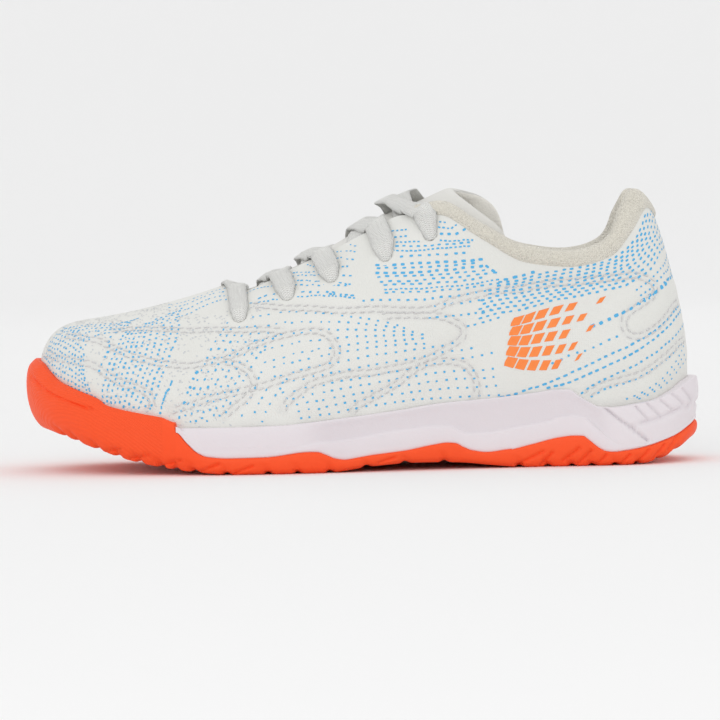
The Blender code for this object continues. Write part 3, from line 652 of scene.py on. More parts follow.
finishes = {
    "sheet": makeSheetFinish(), "lining": makeLiningFinish(), "knit": makeKnitFinish("collarKnit"),
    "tongue": makePlainFinish("tongueCover", (224, 223, 219), 0.66,
                              ((1400, 3, 0.00012, 0.6), (50, 2, 0.0008, 0.35)),
                              (60, 2, (219, 218, 213), (229, 228, 224))),
    "litTongueLining": makeKnitFinish("litTongueLining"), "lace": makeLaceFinish(), "foam": makeFoamFinish(),
    "rubber": makeRubberFinish(), "thread": makeThreadFinish(),
    "shade": makePlainFinish("eyeletShade", (96, 94, 88), 0.9, (), (500, 2, (82, 80, 74), (120, 117, 110))),
    "greyInk": makeInkFinish("greyInk", (196, 200, 206), (210, 213, 217)),
    "blueInk": makeInkFinish("blueInk", (74, 172, 224), (96, 186, 232)),
    "orangeInk": makeInkFinish("orangeInk", (252, 133, 60), (255, 148, 80)),
}
print("stage: finishes ready")

# camera, floor and lights

view = {"distance": 1.5, "elevation": 2.5, "roll": 1.1, "target": (0.0, 0.0, 0.0356), "lens": 221}
studio = {
    "reach": 6.0, "sweepStart": 1.8, "wallTop": 4.0, "sky": 0.93, "aim": (0, 0, 0.04),
    # place, size and power of each lamp
    "lamps": {"key": ((-0.35, -1.7, 0.75), (1.0, 1.0), 3.4), "back": ((0.3, 1.4, 1.2), (1.2, 0.8), 1.2)},
}


def makeView():
    camera = addObject("camera", bpy.data.cameras.new("camera"))
    tilt = math.radians(view["elevation"])
    back = Vector((0.0, -math.cos(tilt), math.sin(tilt)))
    camera.location = Vector(view["target"]) + back * view["distance"]
    camera.rotation_mode = "QUATERNION"
    level = (-back).to_track_quat("-Z", "Y")
    camera.rotation_quaternion = level @ Quaternion((0, 0, 1), math.radians(-view["roll"]))
    camera.data.lens = view["lens"]
    camera.data.sensor_width = 36
    camera.data.clip_start, camera.data.clip_end = 0.05, 60
    bpy.context.scene.camera = camera


def makeFloor():
    # flat, and swept up far behind the shoe
    start, reach = studio["sweepStart"], studio["reach"]
    turns = np.linspace(0.08, math.pi / 2, 20)
    profile = [(y, 0.0) for y in np.linspace(-reach, start, 20)]
    profile += [(start + math.sin(turn), 1 - math.cos(turn)) for turn in turns]
    profile.append((start + 1, studio["wallTop"]))
    form = newForm()
    formSheet(form, np.array([[(x, y, z) for y, z in profile] for x in np.linspace(-reach, reach, 13)]))
    mesh = bpy.data.meshes.new("floor")
    for face in form.faces:
        face.smooth = True
    form.to_mesh(mesh)
    form.free()
    floor = addObject("floor", mesh)
    made = Finish("paleFloor", (0.92, 0.92, 0.92, 1.0), 0.9)
    made.paint(made.blend(made.noise(3), (0.917, 0.917, 0.917, 1.0), (0.923, 0.923, 0.923, 1.0)))
    mesh.materials.append(made.material)


def makeLight(name, place, size, power):
    lamp = bpy.data.lights.new(name, "AREA")
    lamp.shape = "RECTANGLE"
    lamp.size, lamp.size_y = size
    lamp.energy = power
    made = addObject(name, lamp)
    made.location = place
    made.rotation_mode = "QUATERNION"
    made.rotation_quaternion = (Vector(studio["aim"]) - Vector(place)).to_track_quat("-Z", "Y")


def makeStudio():
    world = bpy.data.worlds.new("studio")
    world.use_nodes = True
    sky = world.node_tree.nodes["Background"]
    sky.inputs["Color"].default_value = (1.0, 1.0, 1.0, 1.0)
    sky.inputs["Strength"].default_value = studio["sky"]
    bpy.context.scene.world = world
    for name, (place, size, power) in studio["lamps"].items():
        makeLight(name, place, size, power)
    bpy.context.scene.view_settings.view_transform = "Standard"
    bpy.context.scene.view_settings.look = "None"


makeView()
makeFloor()
makeStudio()
print("stage: camera and studio ready")

# the upper's surface as a fine net of points

net = {"columns": 540, "rows": 84}
netPlaces = np.linspace(-last, last, net["columns"], endpoint=False)
netShares = np.linspace(0.0, 1.0, net["rows"] + 1)
netPoints = np.array([columnAt(place).profile(netShares) for place in netPlaces])


def netNormals(points):
    across = np.roll(points, -1, axis=0) - np.roll(points, 1, axis=0)
    up = np.gradient(points, axis=1)
    normal = np.cross(up, across)
    return normal / np.linalg.norm(normal, axis=2, keepdims=True)


def readNet(values, place, share):
    # value between the net's points
    at = (folded(place) + last) / (2 * last) * net["columns"]
    up = clamp(share) * net["rows"]
    i, j = int(at) % net["columns"], min(int(up), net["rows"] - 1)
    s, t = at - int(at), up - j
    k = (i + 1) % net["columns"]
    return ((values[i, j] * (1 - s) + values[k, j] * s) * (1 - t)
            + (values[i, j + 1] * (1 - s) + values[k, j + 1] * s) * t)


def walkLine(points, pitch, mirrored=False):
    # evenly spaced (place, share) pairs along a smooth line on the upper
    line = refineLine(np.array(points, float), max(24, 14 * len(points)))
    if mirrored:
        line = line * np.array([-1.0, 1.0])
    gone = lengthsAlong(np.array([readNet(netPoints, place, share) for place, share in line]))
    steps = [min(i * pitch, gone[-1]) for i in range(max(int(gone[-1] / pitch), 1) + 1)]
    return [tuple(float(np.interp(at, gone, line[:, k])) for k in (0, 1)) for at in steps]


# stitched lines of the quilting: (ring place, share up the wall), on the outer side
seams = {
    "toe": ((-0.51, 0.22), (-1.19, 0.23), (-1.62, 0.262), (-1.98, 0.287), (-2.32, 0.272), (-2.63, 0.257),
     (-2.91, 0.251), (-3.13, 0.222), (-3.2, 0.169), (-3.13, 0.118)),
    "lens": ((-0.97, 0.332), (-1.45, 0.378), (-1.76, 0.407), (-2.17, 0.408), (-2.52, 0.404),
     (-2.85, 0.404), (-3.2, 0.409), (-3.51, 0.418), (-3.75, 0.443), (-4, 0.468), (-4.2, 0.501),
     (-4.35, 0.532), (-4.68, 0.562), (-5.15, 0.561), (-5.6, 0.523), (-5.92, 0.457), (-6.09, 0.376),
     (-5.99, 0.331), (-5.67, 0.324), (-5.29, 0.323), (-4.89, 0.304), (-4.5, 0.285), (-4.09, 0.248),
     (-3.75, 0.195), (-3.46, 0.148)),
    "vamp": ((-1.63, 0.493), (-1.93, 0.585), (-2.42, 0.615), (-2.92, 0.624), (-3.38, 0.637),
     (-3.89, 0.629), (-4.34, 0.623), (-4.88, 0.587)),
    "side": ((-3.69, 0.786), (-4.4, 0.737), (-5.18, 0.679), (-5.96, 0.585), (-6.62, 0.518), (-7.26, 0.469),
     (-7.9, 0.454), (-8.31, 0.489), (-8.82, 0.566), (-9.47, 0.683), (-10.23, 0.797), (-10.9, 0.843),
     (-11.62, 0.832), (-12.4, 0.766), (-13.03, 0.668), (-13.37, 0.584), (-13.34, 0.54), (-12.92, 0.539),
     (-12.36, 0.539), (-12.14, 0.499), (-12.21, 0.429), (-12.58, 0.387), (-13.17, 0.386), (-13.69, 0.403),
     (-14.78, 0.476)),
    "quarter": ((-6.95, 0.459), (-7.52, 0.438), (-8.04, 0.424), (-8.34, 0.412), (-8.56, 0.389),
     (-8.53, 0.345), (-8.3, 0.303), (-7.98, 0.264), (-7.62, 0.243), (-7.2, 0.235), (-6.77, 0.238),
     (-6.37, 0.257), (-6.03, 0.264), (-5.71, 0.259), (-5.48, 0.225), (-5.31, 0.183), (-5.25, 0.134)),
    "ball": ((-4.03, 0.453), (-4.34, 0.425), (-4.57, 0.376), (-4.71, 0.307), (-4.64, 0.248),
     (-4.47, 0.192), (-4.28, 0.126)),
    "arch": ((-6.44, 0.092), (-6.57, 0.118), (-6.82, 0.137), (-7.07, 0.159), (-7.34, 0.184),
     (-7.58, 0.217), (-7.9, 0.238), (-8.29, 0.243), (-8.6, 0.23), (-8.77, 0.187), (-8.81, 0.132),
     (-8.77, 0.089)),
    "heel": ((-11.12, 0.121), (-11.49, 0.166), (-12.04, 0.186), (-12.65, 0.201), (-13.19, 0.229),
     (-13.77, 0.253), (-14.75, 0.301)),
}
# the stitched grooves and stitches; dark and darkWidth set the painted shade along the stitched lines
quilting = {"depth": 0.00026, "width": 0.0009, "puff": 0.00025, "reach": 0.0042, "apart": 0.0019,
            "walk": 0.0005, "dark": 0.3, "darkWidth": 0.0007, "pitch": 0.0031, "stitch": 0.0021,
            "thread": 0.00046, "high": 0.00042, "lean": 0.16, "lift": 0.0001}
eyelets = {"along": (0.324, 0.395, 0.460, 0.540, 0.606), "height": (0.598, 0.679, 0.747, 0.828, 0.906),
           "tail": (0.000, 0.032, 0.031, 0.044, 0.036), "radius": 0.0019, "cut": 0.0006, "around": 28,
           # radius and lift of the rings round a hole, from the sheet down through the wall
           "rings": ((0.0040, 0.00000), (0.0033, 0.00008), (0.0026, 0.00010),
                     (0.0021, -0.00012), (0.0019, -0.0006), (0.0019, -0.0022))}


def eyeletSpot(index):
    height, x = shoe["collar"] * eyelets["height"][index], atAlong(eyelets["along"][index])
    place = searchPlace(lambda at: upperPoint(at, shareAtHeight(at, height)).x < x)
    return place, shareAtHeight(place, height)


eyeletSpots = [eyeletSpot(i) for i in range(5)]


def treeOf(points, closed=True):
    across, up = points.shape[:2]
    faces = []
    for i in range(across if closed else across - 1):
        k = (i + 1) % across
        for j in range(up - 1):
            faces.append((i * up + j, i * up + j + 1, k * up + j + 1, k * up + j))
    return BVHTree.FromPolygons([Vector(p) for p in points.reshape(-1, 3)], faces)


def seamRows():
    # two rows of points beside each seam's middle, on the bare net, on both sides of the shoe
    rows = []
    bare = treeOf(netPoints)
    for line in seams.values():
        for mirrored in (False, True):
            walked = walkLine(line, quilting["walk"], mirrored)
            spots = [Vector(readNet(netPoints, place, share)) for place, share in walked]
            for side in (-1, 1):
                row = []
                for i, spot in enumerate(spots):
                    run = spots[min(i + 2, len(spots) - 1)] - spots[max(i - 2, 0)]
                    normal = bare.find_nearest(spot)[1]
                    aside = run.cross(normal).normalized() * side * quilting["apart"] / 2
                    row.append(bare.find_nearest(spot + aside)[0])
                rows.append(row)
    return rows


seamLines = seamRows()


def shapeNet():
    # sinks the stitched lines and swells the sheet between them, and works out the painted shade along the
    # stitched lines
    normals = netNormals(netPoints)
    relief = np.zeros(netPoints.shape[:2])
    shadow = np.zeros(netPoints.shape[:2])
    tree = pointTree([spot for row in seamLines for spot in row])
    for i in range(net["columns"]):
        for j in range(net["rows"] + 1):
            away = tree.find(netPoints[i, j])[2]
            if away < 3 * quilting["reach"]:
                swell = away / quilting["reach"]
                relief[i, j] = quilting["puff"] * math.exp(-(swell - 1) ** 2 / 0.3)
                relief[i, j] -= quilting["depth"] * bell(away, quilting["width"])
                shadow[i, j] = quilting["dark"] * bell(away, quilting["darkWidth"])
    return netPoints + normals * relief[:, :, None], shadow


netShaped, netShadow = shapeNet()
shapedNormals = netNormals(netShaped)


def onUpper(place, share, lift=0.0):
    normal = Vector(readNet(shapedNormals, place, share)).normalized()
    return Vector(readNet(netShaped, place, share)) + normal * lift, normal


def makeUpper():
    innerShares = np.linspace(1.0, 0.0, 25)
    inner = np.array([columnAt(place).profile(innerShares) for place in netPlaces])
    inner = inner + netNormals(inner) * shoe["wall"]
    lip = (netShaped[:, -1] + inner[:, 0]) / 2
    lip = lip + (netShaped[:, -1] - netShaped[:, -2]) * 0.35
    points = np.concatenate((netShaped, lip[:, None], inner), axis=1)
    form = newForm()
    formSheet(form, points, closedAcross=True, closedUp=True)
    rows = net["rows"] + 1
    place = form.loops.layers.uv["surface"]
    # painted shade along the stitched lines, carried on the sheet's points
    shadowLayer = form.verts.layers.float.new("seamShade")
    tree = pointTree(netShaped.reshape(-1, 3))
    shadows = netShadow.reshape(-1)
    for vert in form.verts:
        _, i, away = tree.find(vert.co)
        vert[shadowLayer] = float(shadows[i]) if away < 0.0002 else 0.0
    for face in form.faces:
        face.material_index = 1 if middleUp(face, place) * points.shape[1] > rows + 2 else 0
    gone = []
    for spot, share in eyeletSpots:
        for side in (-1, 1):
            middle, normal = onUpper(side * spot, share)
            for face in form.faces:
                offset = face.calc_center_median() - middle
                if offset.length < 0.006:
                    level = offset - normal * offset.dot(normal)
                    if level.length < eyelets["radius"] + eyelets["cut"]:
                        gone.append(face)
    bmesh.ops.delete(form, geom=list(set(gone)), context="FACES")
    return addPiece("upper_sheet", form, (finishes["sheet"], finishes["lining"]),
                    ("upper",), 50)


def makeEyelets():
    # a soft rolled edge round each hole, on the sheet, and down through the wall
    form = newForm()
    count = eyelets["around"]
    for spot, share in eyeletSpots:
        for side in (-1, 1):
            middle, normal = onUpper(side * spot, share)
            turn = normal.to_track_quat("Z", "Y").to_matrix()
            rings = []
            for radius, lift in eyelets["rings"]:
                ring = []
                for k in range(count):
                    angle = 2 * math.pi * k / count
                    flat = turn @ Vector((math.cos(angle) * radius, math.sin(angle) * radius, 0))
                    point = middle + flat
                    if radius > 0.0022:
                        hit = netTree.find_nearest(point)
                        point = hit[0] + normal * lift
                    else:
                        point = point + normal * lift
                    ring.append(point)
                rings.append(ring)
            rings = np.array(rings).transpose(1, 0, 2)
            faces = formSheet(form, rings, closedAcross=True)
            for face in faces:
                # the wall down inside each hole takes the dark eyelet finish: painted shade
                depth = (face.calc_center_median() - middle).dot(normal)
                face.material_index = 1 if depth < -0.0004 else 0
    bmesh.ops.recalc_face_normals(form, faces=form.faces)
    return addPiece("eyelet_edges", form, (finishes["sheet"], finishes["shade"]))


netTree = treeOf(netShaped)
makeUpper()
makeEyelets()
print("stage: upper ready")

# stitches, printed dots and the printed tiles


def frameAt(spot, run, lift, size, turn=0.0):
    # matrix of a small shape lying on the sheet, its x along the run
    found, normal, _, _ = netTree.find_nearest(spot)
    along = (run - normal * run.dot(normal)).normalized()
    across = normal.cross(along)
    if turn:
        along, across = (along * math.cos(turn) + across * math.sin(turn),
                         across * math.cos(turn) - along * math.sin(turn))
    frame = Matrix.Identity(4)
    for i, (axis, length) in enumerate(zip((along, across, normal), size)):
        frame.col[i][:3] = axis * length
    frame.col[3][:3] = found + normal * lift
    return frame


def makeStitches():
    rng = np.random.default_rng(4)
    spots = []
    step = int(round(quilting["pitch"] / quilting["walk"]))
    for number, row in enumerate(seamLines):
        for k in range((number % 2) * step // 2, len(row) - 3, step):
            run = row[min(k + 3, len(row) - 1)] - row[max(k - 3, 0)]
            length = quilting["stitch"] * rng.uniform(0.9, 1.1)
            turn = quilting["lean"] + rng.uniform(-0.08, 0.08)
            size = (length, quilting["thread"], quilting["high"])
            spots.append(frameAt(row[k], run, quilting["lift"], size, turn))
    shape = bmesh.new()
    bmesh.ops.create_uvsphere(shape, u_segments=8, v_segments=6, radius=0.5)
    for vert in shape.verts:
        vert.co = Vector((vert.co.z, vert.co.x, vert.co.y))
        vert.co.x = math.copysign(abs(vert.co.x * 2) ** 0.6 / 2, vert.co.x)
    bmesh.ops.recalc_face_normals(shape, faces=shape.faces)
    scatter("quilting_stitches", shape, spots, finishes["thread"])


# rows between the guides, pitch, length and width of a dot in mm, and the guides
dotFields = (
    (1, 2.6, 1.35, 0.95, (((-9.1, 0.772), (-9.31, 0.769)),)),
    (1, 3, 1.6, 1, (((-9.51, 0.764), (-9.73, 0.819), (-9.9, 0.858), (-10.12, 0.902), (-10.29, 0.932)),)),
    (9, 2.7, 1.3, 0.72, (((-9.37, 0.718), (-10.29, 0.894), (-10.96, 0.968), (-11.69, 0.971), (-12.3, 0.946),
     (-12.94, 0.917), (-13.42, 0.923), (-13.85, 0.963)), ((-8.96, 0.555), (-9.8, 0.709), (-10.67, 0.807),
     (-11.63, 0.857), (-12.59, 0.821), (-13.32, 0.803), (-13.99, 0.83), (-14.84, 0.999)), ((-8.9, 0.458),
     (-9.77, 0.594), (-10.63, 0.703), (-11.58, 0.741), (-12.68, 0.696), (-13.6, 0.673), (-14.83, 0.788),
     (-14.83, 0.853)))),
    (3, 2.2, 0.9, 0.7, (((-12.69, 0.633), (-13.34, 0.62), (-14.07, 0.634), (-14.82, 0.738)),
     ((-12.74, 0.547), (-13.43, 0.541), (-14.34, 0.576), (-14.81, 0.666)))),
    (1, 2.9, 1.5, 1.15, (((-11.33, 0.516), (-11.54, 0.526), (-11.75, 0.54), (-11.95, 0.553),
     (-12.17, 0.556), (-12.37, 0.556), (-12.63, 0.558), (-12.86, 0.556), (-13.14, 0.549), (-13.47, 0.54),
     (-13.83, 0.54), (-14.64, 0.594)),)),
    (1, 2.9, 0.9, 0.75, (((-10.22, 0.279), (-10.43, 0.303), (-10.64, 0.329), (-10.87, 0.358),
     (-11.21, 0.378), (-11.52, 0.405), (-11.92, 0.429)),)),
    (1, 2.5, 1.5, 0.75, (((-9.31, 0.104), (-9.6, 0.122), (-9.9, 0.151), (-10.21, 0.178), (-10.52, 0.213),
     (-10.84, 0.254), (-11.19, 0.291), (-11.55, 0.322), (-11.94, 0.347), (-12.4, 0.363), (-12.93, 0.373),
     (-13.39, 0.381), (-13.89, 0.394), (-14.78, 0.461)),)),
    (1, 2.5, 1.5, 0.75, (((-10.27, 0.157), (-10.52, 0.174), (-10.84, 0.202), (-11.18, 0.238),
     (-11.53, 0.267), (-11.92, 0.293), (-12.37, 0.316), (-12.89, 0.335), (-13.36, 0.351), (-13.83, 0.365),
     (-14.78, 0.432)),)),
    (1, 2.3, 1.1, 0.75, (((-10.98, 0.128), (-11.22, 0.166), (-11.52, 0.199), (-11.91, 0.227),
     (-12.34, 0.249), (-12.85, 0.27), (-13.41, 0.289), (-14.05, 0.315), (-14.77, 0.371)),)),
    (1, 2.3, 0.9, 0.7, (((-11.22, 0.108), (-11.54, 0.143), (-11.95, 0.162), (-12.49, 0.183), (-13, 0.207),
     (-13.57, 0.228), (-14.35, 0.27)),)),
    (3, 3, 0.8, 0.65, (((-12.07, 0.081), (-12.48, 0.103), (-12.88, 0.126), (-13.24, 0.151), (-13.6, 0.184),
     (-14.05, 0.223), (-14.53, 0.268)), ((-12.49, 0.078), (-13, 0.101), (-13.47, 0.126), (-13.94, 0.163),
     (-14.52, 0.205)))),
    (4, 3.2, 0.85, 0.7, (((-5.57, 0.097), (-6.24, 0.102), (-6.93, 0.104), (-7.71, 0.103), (-8.48, 0.102),
     (-9.28, 0.114)), ((-5.2, 0.208), (-6.04, 0.203), (-6.92, 0.192), (-7.9, 0.196), (-8.88, 0.219),
     (-9.28, 0.247)))),
    (4, 3.2, 0.85, 0.7, (((-5.26, 0.248), (-6.03, 0.24), (-6.82, 0.224), (-7.8, 0.228), (-8.68, 0.269),
     (-9.29, 0.322)), ((-4.85, 0.397), (-5.41, 0.398), (-6.24, 0.363), (-6.99, 0.332), (-7.69, 0.316),
     (-7.9, 0.312)))),
    (5, 3.1, 0.85, 0.7, (((-4.77, 0.432), (-5.36, 0.438), (-6.22, 0.395), (-7.08, 0.348), (-7.9, 0.336)),
     ((-3.93, 0.697), (-4.61, 0.699), (-5.5, 0.622), (-6.44, 0.497), (-6.96, 0.433), (-7.36, 0.394)))),
    (2, 2.6, 1, 0.7, (((-7.9, 0.417), (-8.3, 0.428), (-8.8, 0.473), (-9.22, 0.537)), ((-8.58, 0.393),
     (-8.9, 0.434), (-9.15, 0.47), (-9.41, 0.519)))),
    (1, 2.7, 1.35, 0.9, (((-3.59, 0.834), (-3.8, 0.837), (-4, 0.833), (-4.4, 0.811), (-4.67, 0.8),
     (-5.01, 0.773), (-5.39, 0.738), (-5.74, 0.694)),)),
    (1, 1.5, 0.95, 0.65, (((-3.51, 0.813), (-3.8, 0.798), (-4.01, 0.796), (-4.3, 0.786), (-4.55, 0.776),
     (-4.81, 0.763), (-5.3, 0.727), (-5.81, 0.668), (-6.24, 0.612)),)),
    (1, 1.3, 0.8, 0.55, (((-2.8, 0.909), (-2.62, 0.955), (-2.82, 0.958), (-3.18, 0.945),
     (-3.53, 0.926)),)),
    (1, 1.3, 0.8, 0.55, (((-0.27, 1), (-0.29, 1), (-2.72, 1)),)),
    (1, 1.5, 0.95, 0.55, (((-3.74, 0.974), (-4.18, 0.945), (-4.59, 0.908), (-4.94, 0.879)),)),
    (1, 1.5, 0.95, 0.55, (((-3.89, 0.95), (-4.46, 0.903), (-5, 0.859)),)),
    (1, 1.6, 1.05, 0.6, (((-4.19, 0.893), (-4.76, 0.849), (-5.27, 0.807), (-5.72, 0.747),
     (-6.08, 0.697)),)),
    (1, 1.9, 1.15, 0.65, (((-4.43, 0.851), (-4.99, 0.81), (-5.45, 0.767), (-5.9, 0.711)),)),
    (1, 1.4, 0.8, 0.5, (((-3.76, 1), (-4.23, 0.976), (-4.65, 0.928)),)),
    (1, 1.9, 1, 0.6, (((-4.83, 1), (-5.26, 0.997), (-5.77, 0.935)),)),
    (1, 1.6, 0.9, 0.55, (((-4.63, 1), (-5.29, 0.957), (-5.83, 0.896)),)),
    (1, 2, 1, 0.65, (((-5.02, 0.95), (-5.42, 0.908), (-5.83, 0.859)),)),
    (1, 2, 1, 0.65, (((-5.38, 0.87), (-5.8, 0.82)),)),
    (1, 2.2, 1.1, 0.7, (((-5.56, 0.807), (-5.94, 0.758)),)),
    (1, 2, 1.2, 0.8, (((-5.56, 0.708), (-5.9, 0.666), (-6.23, 0.624)),)),
    (1, 1.7, 0.9, 0.55, (((-7.65, 0.971), (-7.98, 0.974), (-7.73, 0.999)),)),
    (1, 1.7, 0.95, 0.55, (((-7.82, 0.926), (-8.08, 0.924), (-8.28, 0.937)),)),
    (1, 1.5, 0.9, 0.6, (((-7.84, 0.882), (-8.31, 0.901), (-8.52, 0.998)),)),
    (1, 1.5, 0.9, 0.6, (((-6.84, 0.9), (-7.1, 0.891), (-7.31, 0.888)),)),
    (1, 1.7, 1, 0.65, (((-6.68, 0.874), (-7.02, 0.851), (-7.34, 0.842)),)),
    (1, 2.6, 1.3, 0.85, (((-7.95, 0.825), (-8.43, 0.877), (-8.69, 0.998)),)),
    (1, 1.5, 0.95, 0.6, (((-6.78, 0.834), (-7.23, 0.809), (-7.74, 0.797), (-8.31, 0.808),
     (-8.86, 0.931)),)),
    (1, 2.4, 1.2, 0.7, (((-6.86, 0.803), (-7.75, 0.766), (-8.31, 0.791), (-8.79, 0.889)),)),
    (1, 1.5, 0.95, 0.6, (((-6.85, 0.781), (-7.39, 0.749), (-7.87, 0.746), (-8.31, 0.766),
     (-8.75, 0.853)),)),
    (1, 3, 1.2, 0.75, (((-6.98, 0.738), (-7.4, 0.721), (-7.88, 0.712), (-8.31, 0.728), (-8.74, 0.802)),)),
    (1, 2.9, 1.45, 0.95, (((-6.61, 0.731), (-7.06, 0.691), (-7.65, 0.675), (-8.21, 0.677), (-8.63, 0.73),
     (-8.99, 0.807)),)),
    (1, 2.9, 1.35, 0.75, (((-6.65, 0.711), (-7.07, 0.675), (-7.66, 0.654), (-8.21, 0.656), (-8.63, 0.711),
     (-8.95, 0.78)),)),
    (1, 2.9, 1.45, 0.9, (((-6.65, 0.685), (-7.08, 0.648), (-7.66, 0.629), (-8.21, 0.635), (-8.63, 0.689),
     (-9.12, 0.781)),)),
    (1, 2.9, 1.35, 0.7, (((-6.72, 0.659), (-7.09, 0.633), (-7.67, 0.613), (-8.21, 0.615), (-8.63, 0.666),
     (-9.03, 0.737)),)),
    (1, 2.9, 1.3, 0.7, (((-6.81, 0.625), (-7.22, 0.602), (-7.67, 0.589), (-8.31, 0.601), (-8.83, 0.677),
     (-9.27, 0.762)),)),
    (1, 2.9, 1.3, 0.7, (((-6.91, 0.602), (-7.45, 0.578), (-8, 0.569), (-8.52, 0.603), (-9.05, 0.697)),)),
    (1, 1.7, 1, 0.6, (((-6.92, 0.578), (-7.46, 0.555), (-7.9, 0.547), (-8.41, 0.569), (-8.93, 0.646),
     (-9.37, 0.733)),)),
    (1, 2.7, 1.2, 0.65, (((-6.93, 0.563), (-7.46, 0.54), (-8.01, 0.532), (-8.51, 0.563), (-9.04, 0.648),
     (-9.48, 0.736)),)),
    (1, 2.9, 1, 0.75, (((-6.46, 0.572), (-6.92, 0.532), (-7.46, 0.504), (-8.01, 0.501), (-8.51, 0.533),
     (-9.03, 0.612)),)),
    (1, 2.9, 0.9, 0.7, (((-8.02, 0.466), (-8.51, 0.496), (-9.02, 0.566)),)),
    (8, 3, 0.95, 0.8, (((-3.42, 0.726), (-3.58, 0.618), (-3.65, 0.533), (-3.71, 0.453), (-3.75, 0.387),
     (-3.77, 0.313), (-3.75, 0.24), (-3.74, 0.158), (-3.74, 0.097)), ((-4.7, 0.571), (-4.61, 0.513),
     (-4.55, 0.442), (-4.52, 0.367), (-4.47, 0.29), (-4.4, 0.214), (-4.34, 0.136)))),
    (3, 3.1, 0.9, 0.75, (((-4.76, 0.379), (-4.73, 0.284), (-4.67, 0.209), (-4.6, 0.121)), ((-5.24, 0.312),
     (-5.12, 0.245), (-5.02, 0.175), (-4.95, 0.107)))),
    (1, 2.7, 1.3, 1.1, (((-3.69, 0.381), (-3.69, 0.336), (-3.7, 0.297), (-3.69, 0.244), (-3.68, 0.192),
     (-3.66, 0.144), (-3.62, 0.091)),)),
    (1, 1.35, 1.25, 0.75, (((-3.39, 0.316), (-3.39, 0.282), (-3.37, 0.252), (-3.37, 0.218), (-3.36, 0.183),
     (-3.35, 0.132)),)),
    (1, 2.3, 1.25, 0.95, (((-1.65, 0.529), (-1.77, 0.485), (-1.84, 0.439), (-2.04, 0.397), (-2.12, 0.354),
     (-2.14, 0.317), (-2.17, 0.273)),)),
    (11, 1.95, 1.0, 0.8, (((-1.89, 0.522), (-2.13, 0.431), (-2.25, 0.363), (-2.3, 0.298), (-2.35, 0.237),
     (-2.36, 0.173), (-2.4, 0.117)), ((-1.77, 0.671), (-2.36, 0.52), (-2.58, 0.436), (-2.7, 0.362),
     (-2.75, 0.284), (-2.77, 0.207), (-2.75, 0.132)), ((-1.45, 0.805), (-2.34, 0.703), (-2.88, 0.56),
     (-3.05, 0.474), (-3.16, 0.397), (-3.2, 0.316), (-3.23, 0.238), (-3.18, 0.143)))),
    (4, 1.6, 0.85, 0.6, (((-0.71, 0.782), (-0.95, 0.831), (-0.79, 0.89), (-0.73, 0.94), (-0.94, 0.977)),
     ((-1.98, 0.748), (-1.97, 0.8), (-1.83, 0.86), (-1.84, 0.909), (-2.14, 0.94)))),
    (11, 1.8, 0.95, 0.75, (((-0.38, 0.162), (-1.09, 0.14), (-1.55, 0.136), (-1.98, 0.137), (-2.25, 0.138)),
     ((-0.48, 0.223), (-1.21, 0.223), (-1.57, 0.226), (-1.82, 0.218), (-2.04, 0.188)), ((-0.51, 0.286),
     (-1.09, 0.298), (-1.45, 0.299), (-1.67, 0.294), (-1.84, 0.263)), ((-0.42, 0.359), (-1.11, 0.377),
     (-1.42, 0.389), (-1.58, 0.384)))),
    (5, 1.8, 0.9, 0.62, (((-0.55, 0.342), (-0.81, 0.402), (-1.18, 0.476), (-1.41, 0.551), (-1.47, 0.638)),
     ((-1.41, 0.356), (-1.55, 0.412), (-1.67, 0.465), (-1.71, 0.543), (-1.36, 0.665)))),
)


def dotLines(rows, guides):
    fine = np.array([refineLine(np.array(guide, float), 40) for guide in guides])
    if rows == 1:
        return [fine[0]]
    return list(refineLine(fine, rows))


dots = {
    "edge": 0.985, "clear": 0.0032, "lift": 0.00006,
    # up to this ring place the print of the toe is so many times looser
    "toeEnd": 6, "toeLoose": 2.6,
    "slip": 0.08, "drift": 0.00012, "shorter": 0.16, "narrower": 0.14, "turn": 0.13,
}


def makeDots():
    rng = np.random.default_rng(7)
    holes = [onUpper(side * spot, share)[0] for spot, share in eyeletSpots for side in (-1, 1)]
    spots = []

    def addDot(place, share, run, length, width):
        spot = Vector(readNet(netShaped, place, share))
        loose = 1.0 if abs(place) > dots["toeEnd"] else dots["toeLoose"]
        spot = spot + run * rng.uniform(-dots["slip"], dots["slip"]) * loose
        spot.z += dots["drift"] * loose * rng.uniform(-1, 1)
        size = (length / 1000 * rng.uniform(1 - dots["shorter"] * loose, 1.15),
                width / 1000 * rng.uniform(1 - dots["narrower"] * loose, 1.12), 0.001)
        spots.append(frameAt(spot, run, dots["lift"], size, dots["turn"] * loose * rng.uniform(-1, 1)))

    for rows, pitch, length, width, guides in dotFields:
        for number, line in enumerate(dotLines(rows, guides)):
            for mirrored in (False, True):
                walked = walkLine(line, pitch / 2000, mirrored)[number % 2::2]
                for k, (place, share) in enumerate(walked):
                    if share > dots["edge"] or len(walked) < 2:
                        continue
                    spot = Vector(readNet(netShaped, place, share))
                    other = walked[k + 1] if k + 1 < len(walked) else walked[k - 1]
                    run = Vector(readNet(netShaped, *other)) - spot
                    if run.length > 1e-5 and min((spot - hole).length for hole in holes) >= dots["clear"]:
                        addDot(place, share, run, length, width)
    shape = bmesh.new()
    bmesh.ops.create_circle(shape, cap_ends=True, segments=8, radius=0.5)
    for vert in shape.verts:
        # the circle squared off a little
        for axis in (0, 1):
            half = abs(vert.co[axis])
            vert.co[axis] = math.copysign(0.5 * (half * 2) ** 0.5, vert.co[axis]) if half > 1e-4 else 0.0
    scatter("printed_dots", shape, spots, finishes["blueInk"])
    print("dots:", len(spots))


flecks = {"count": 1100, "places": (0.2, 4.5), "shares": (0.02, 0.80), "length": 0.00085,
          "width": 0.00045, "lift": 0.00005}


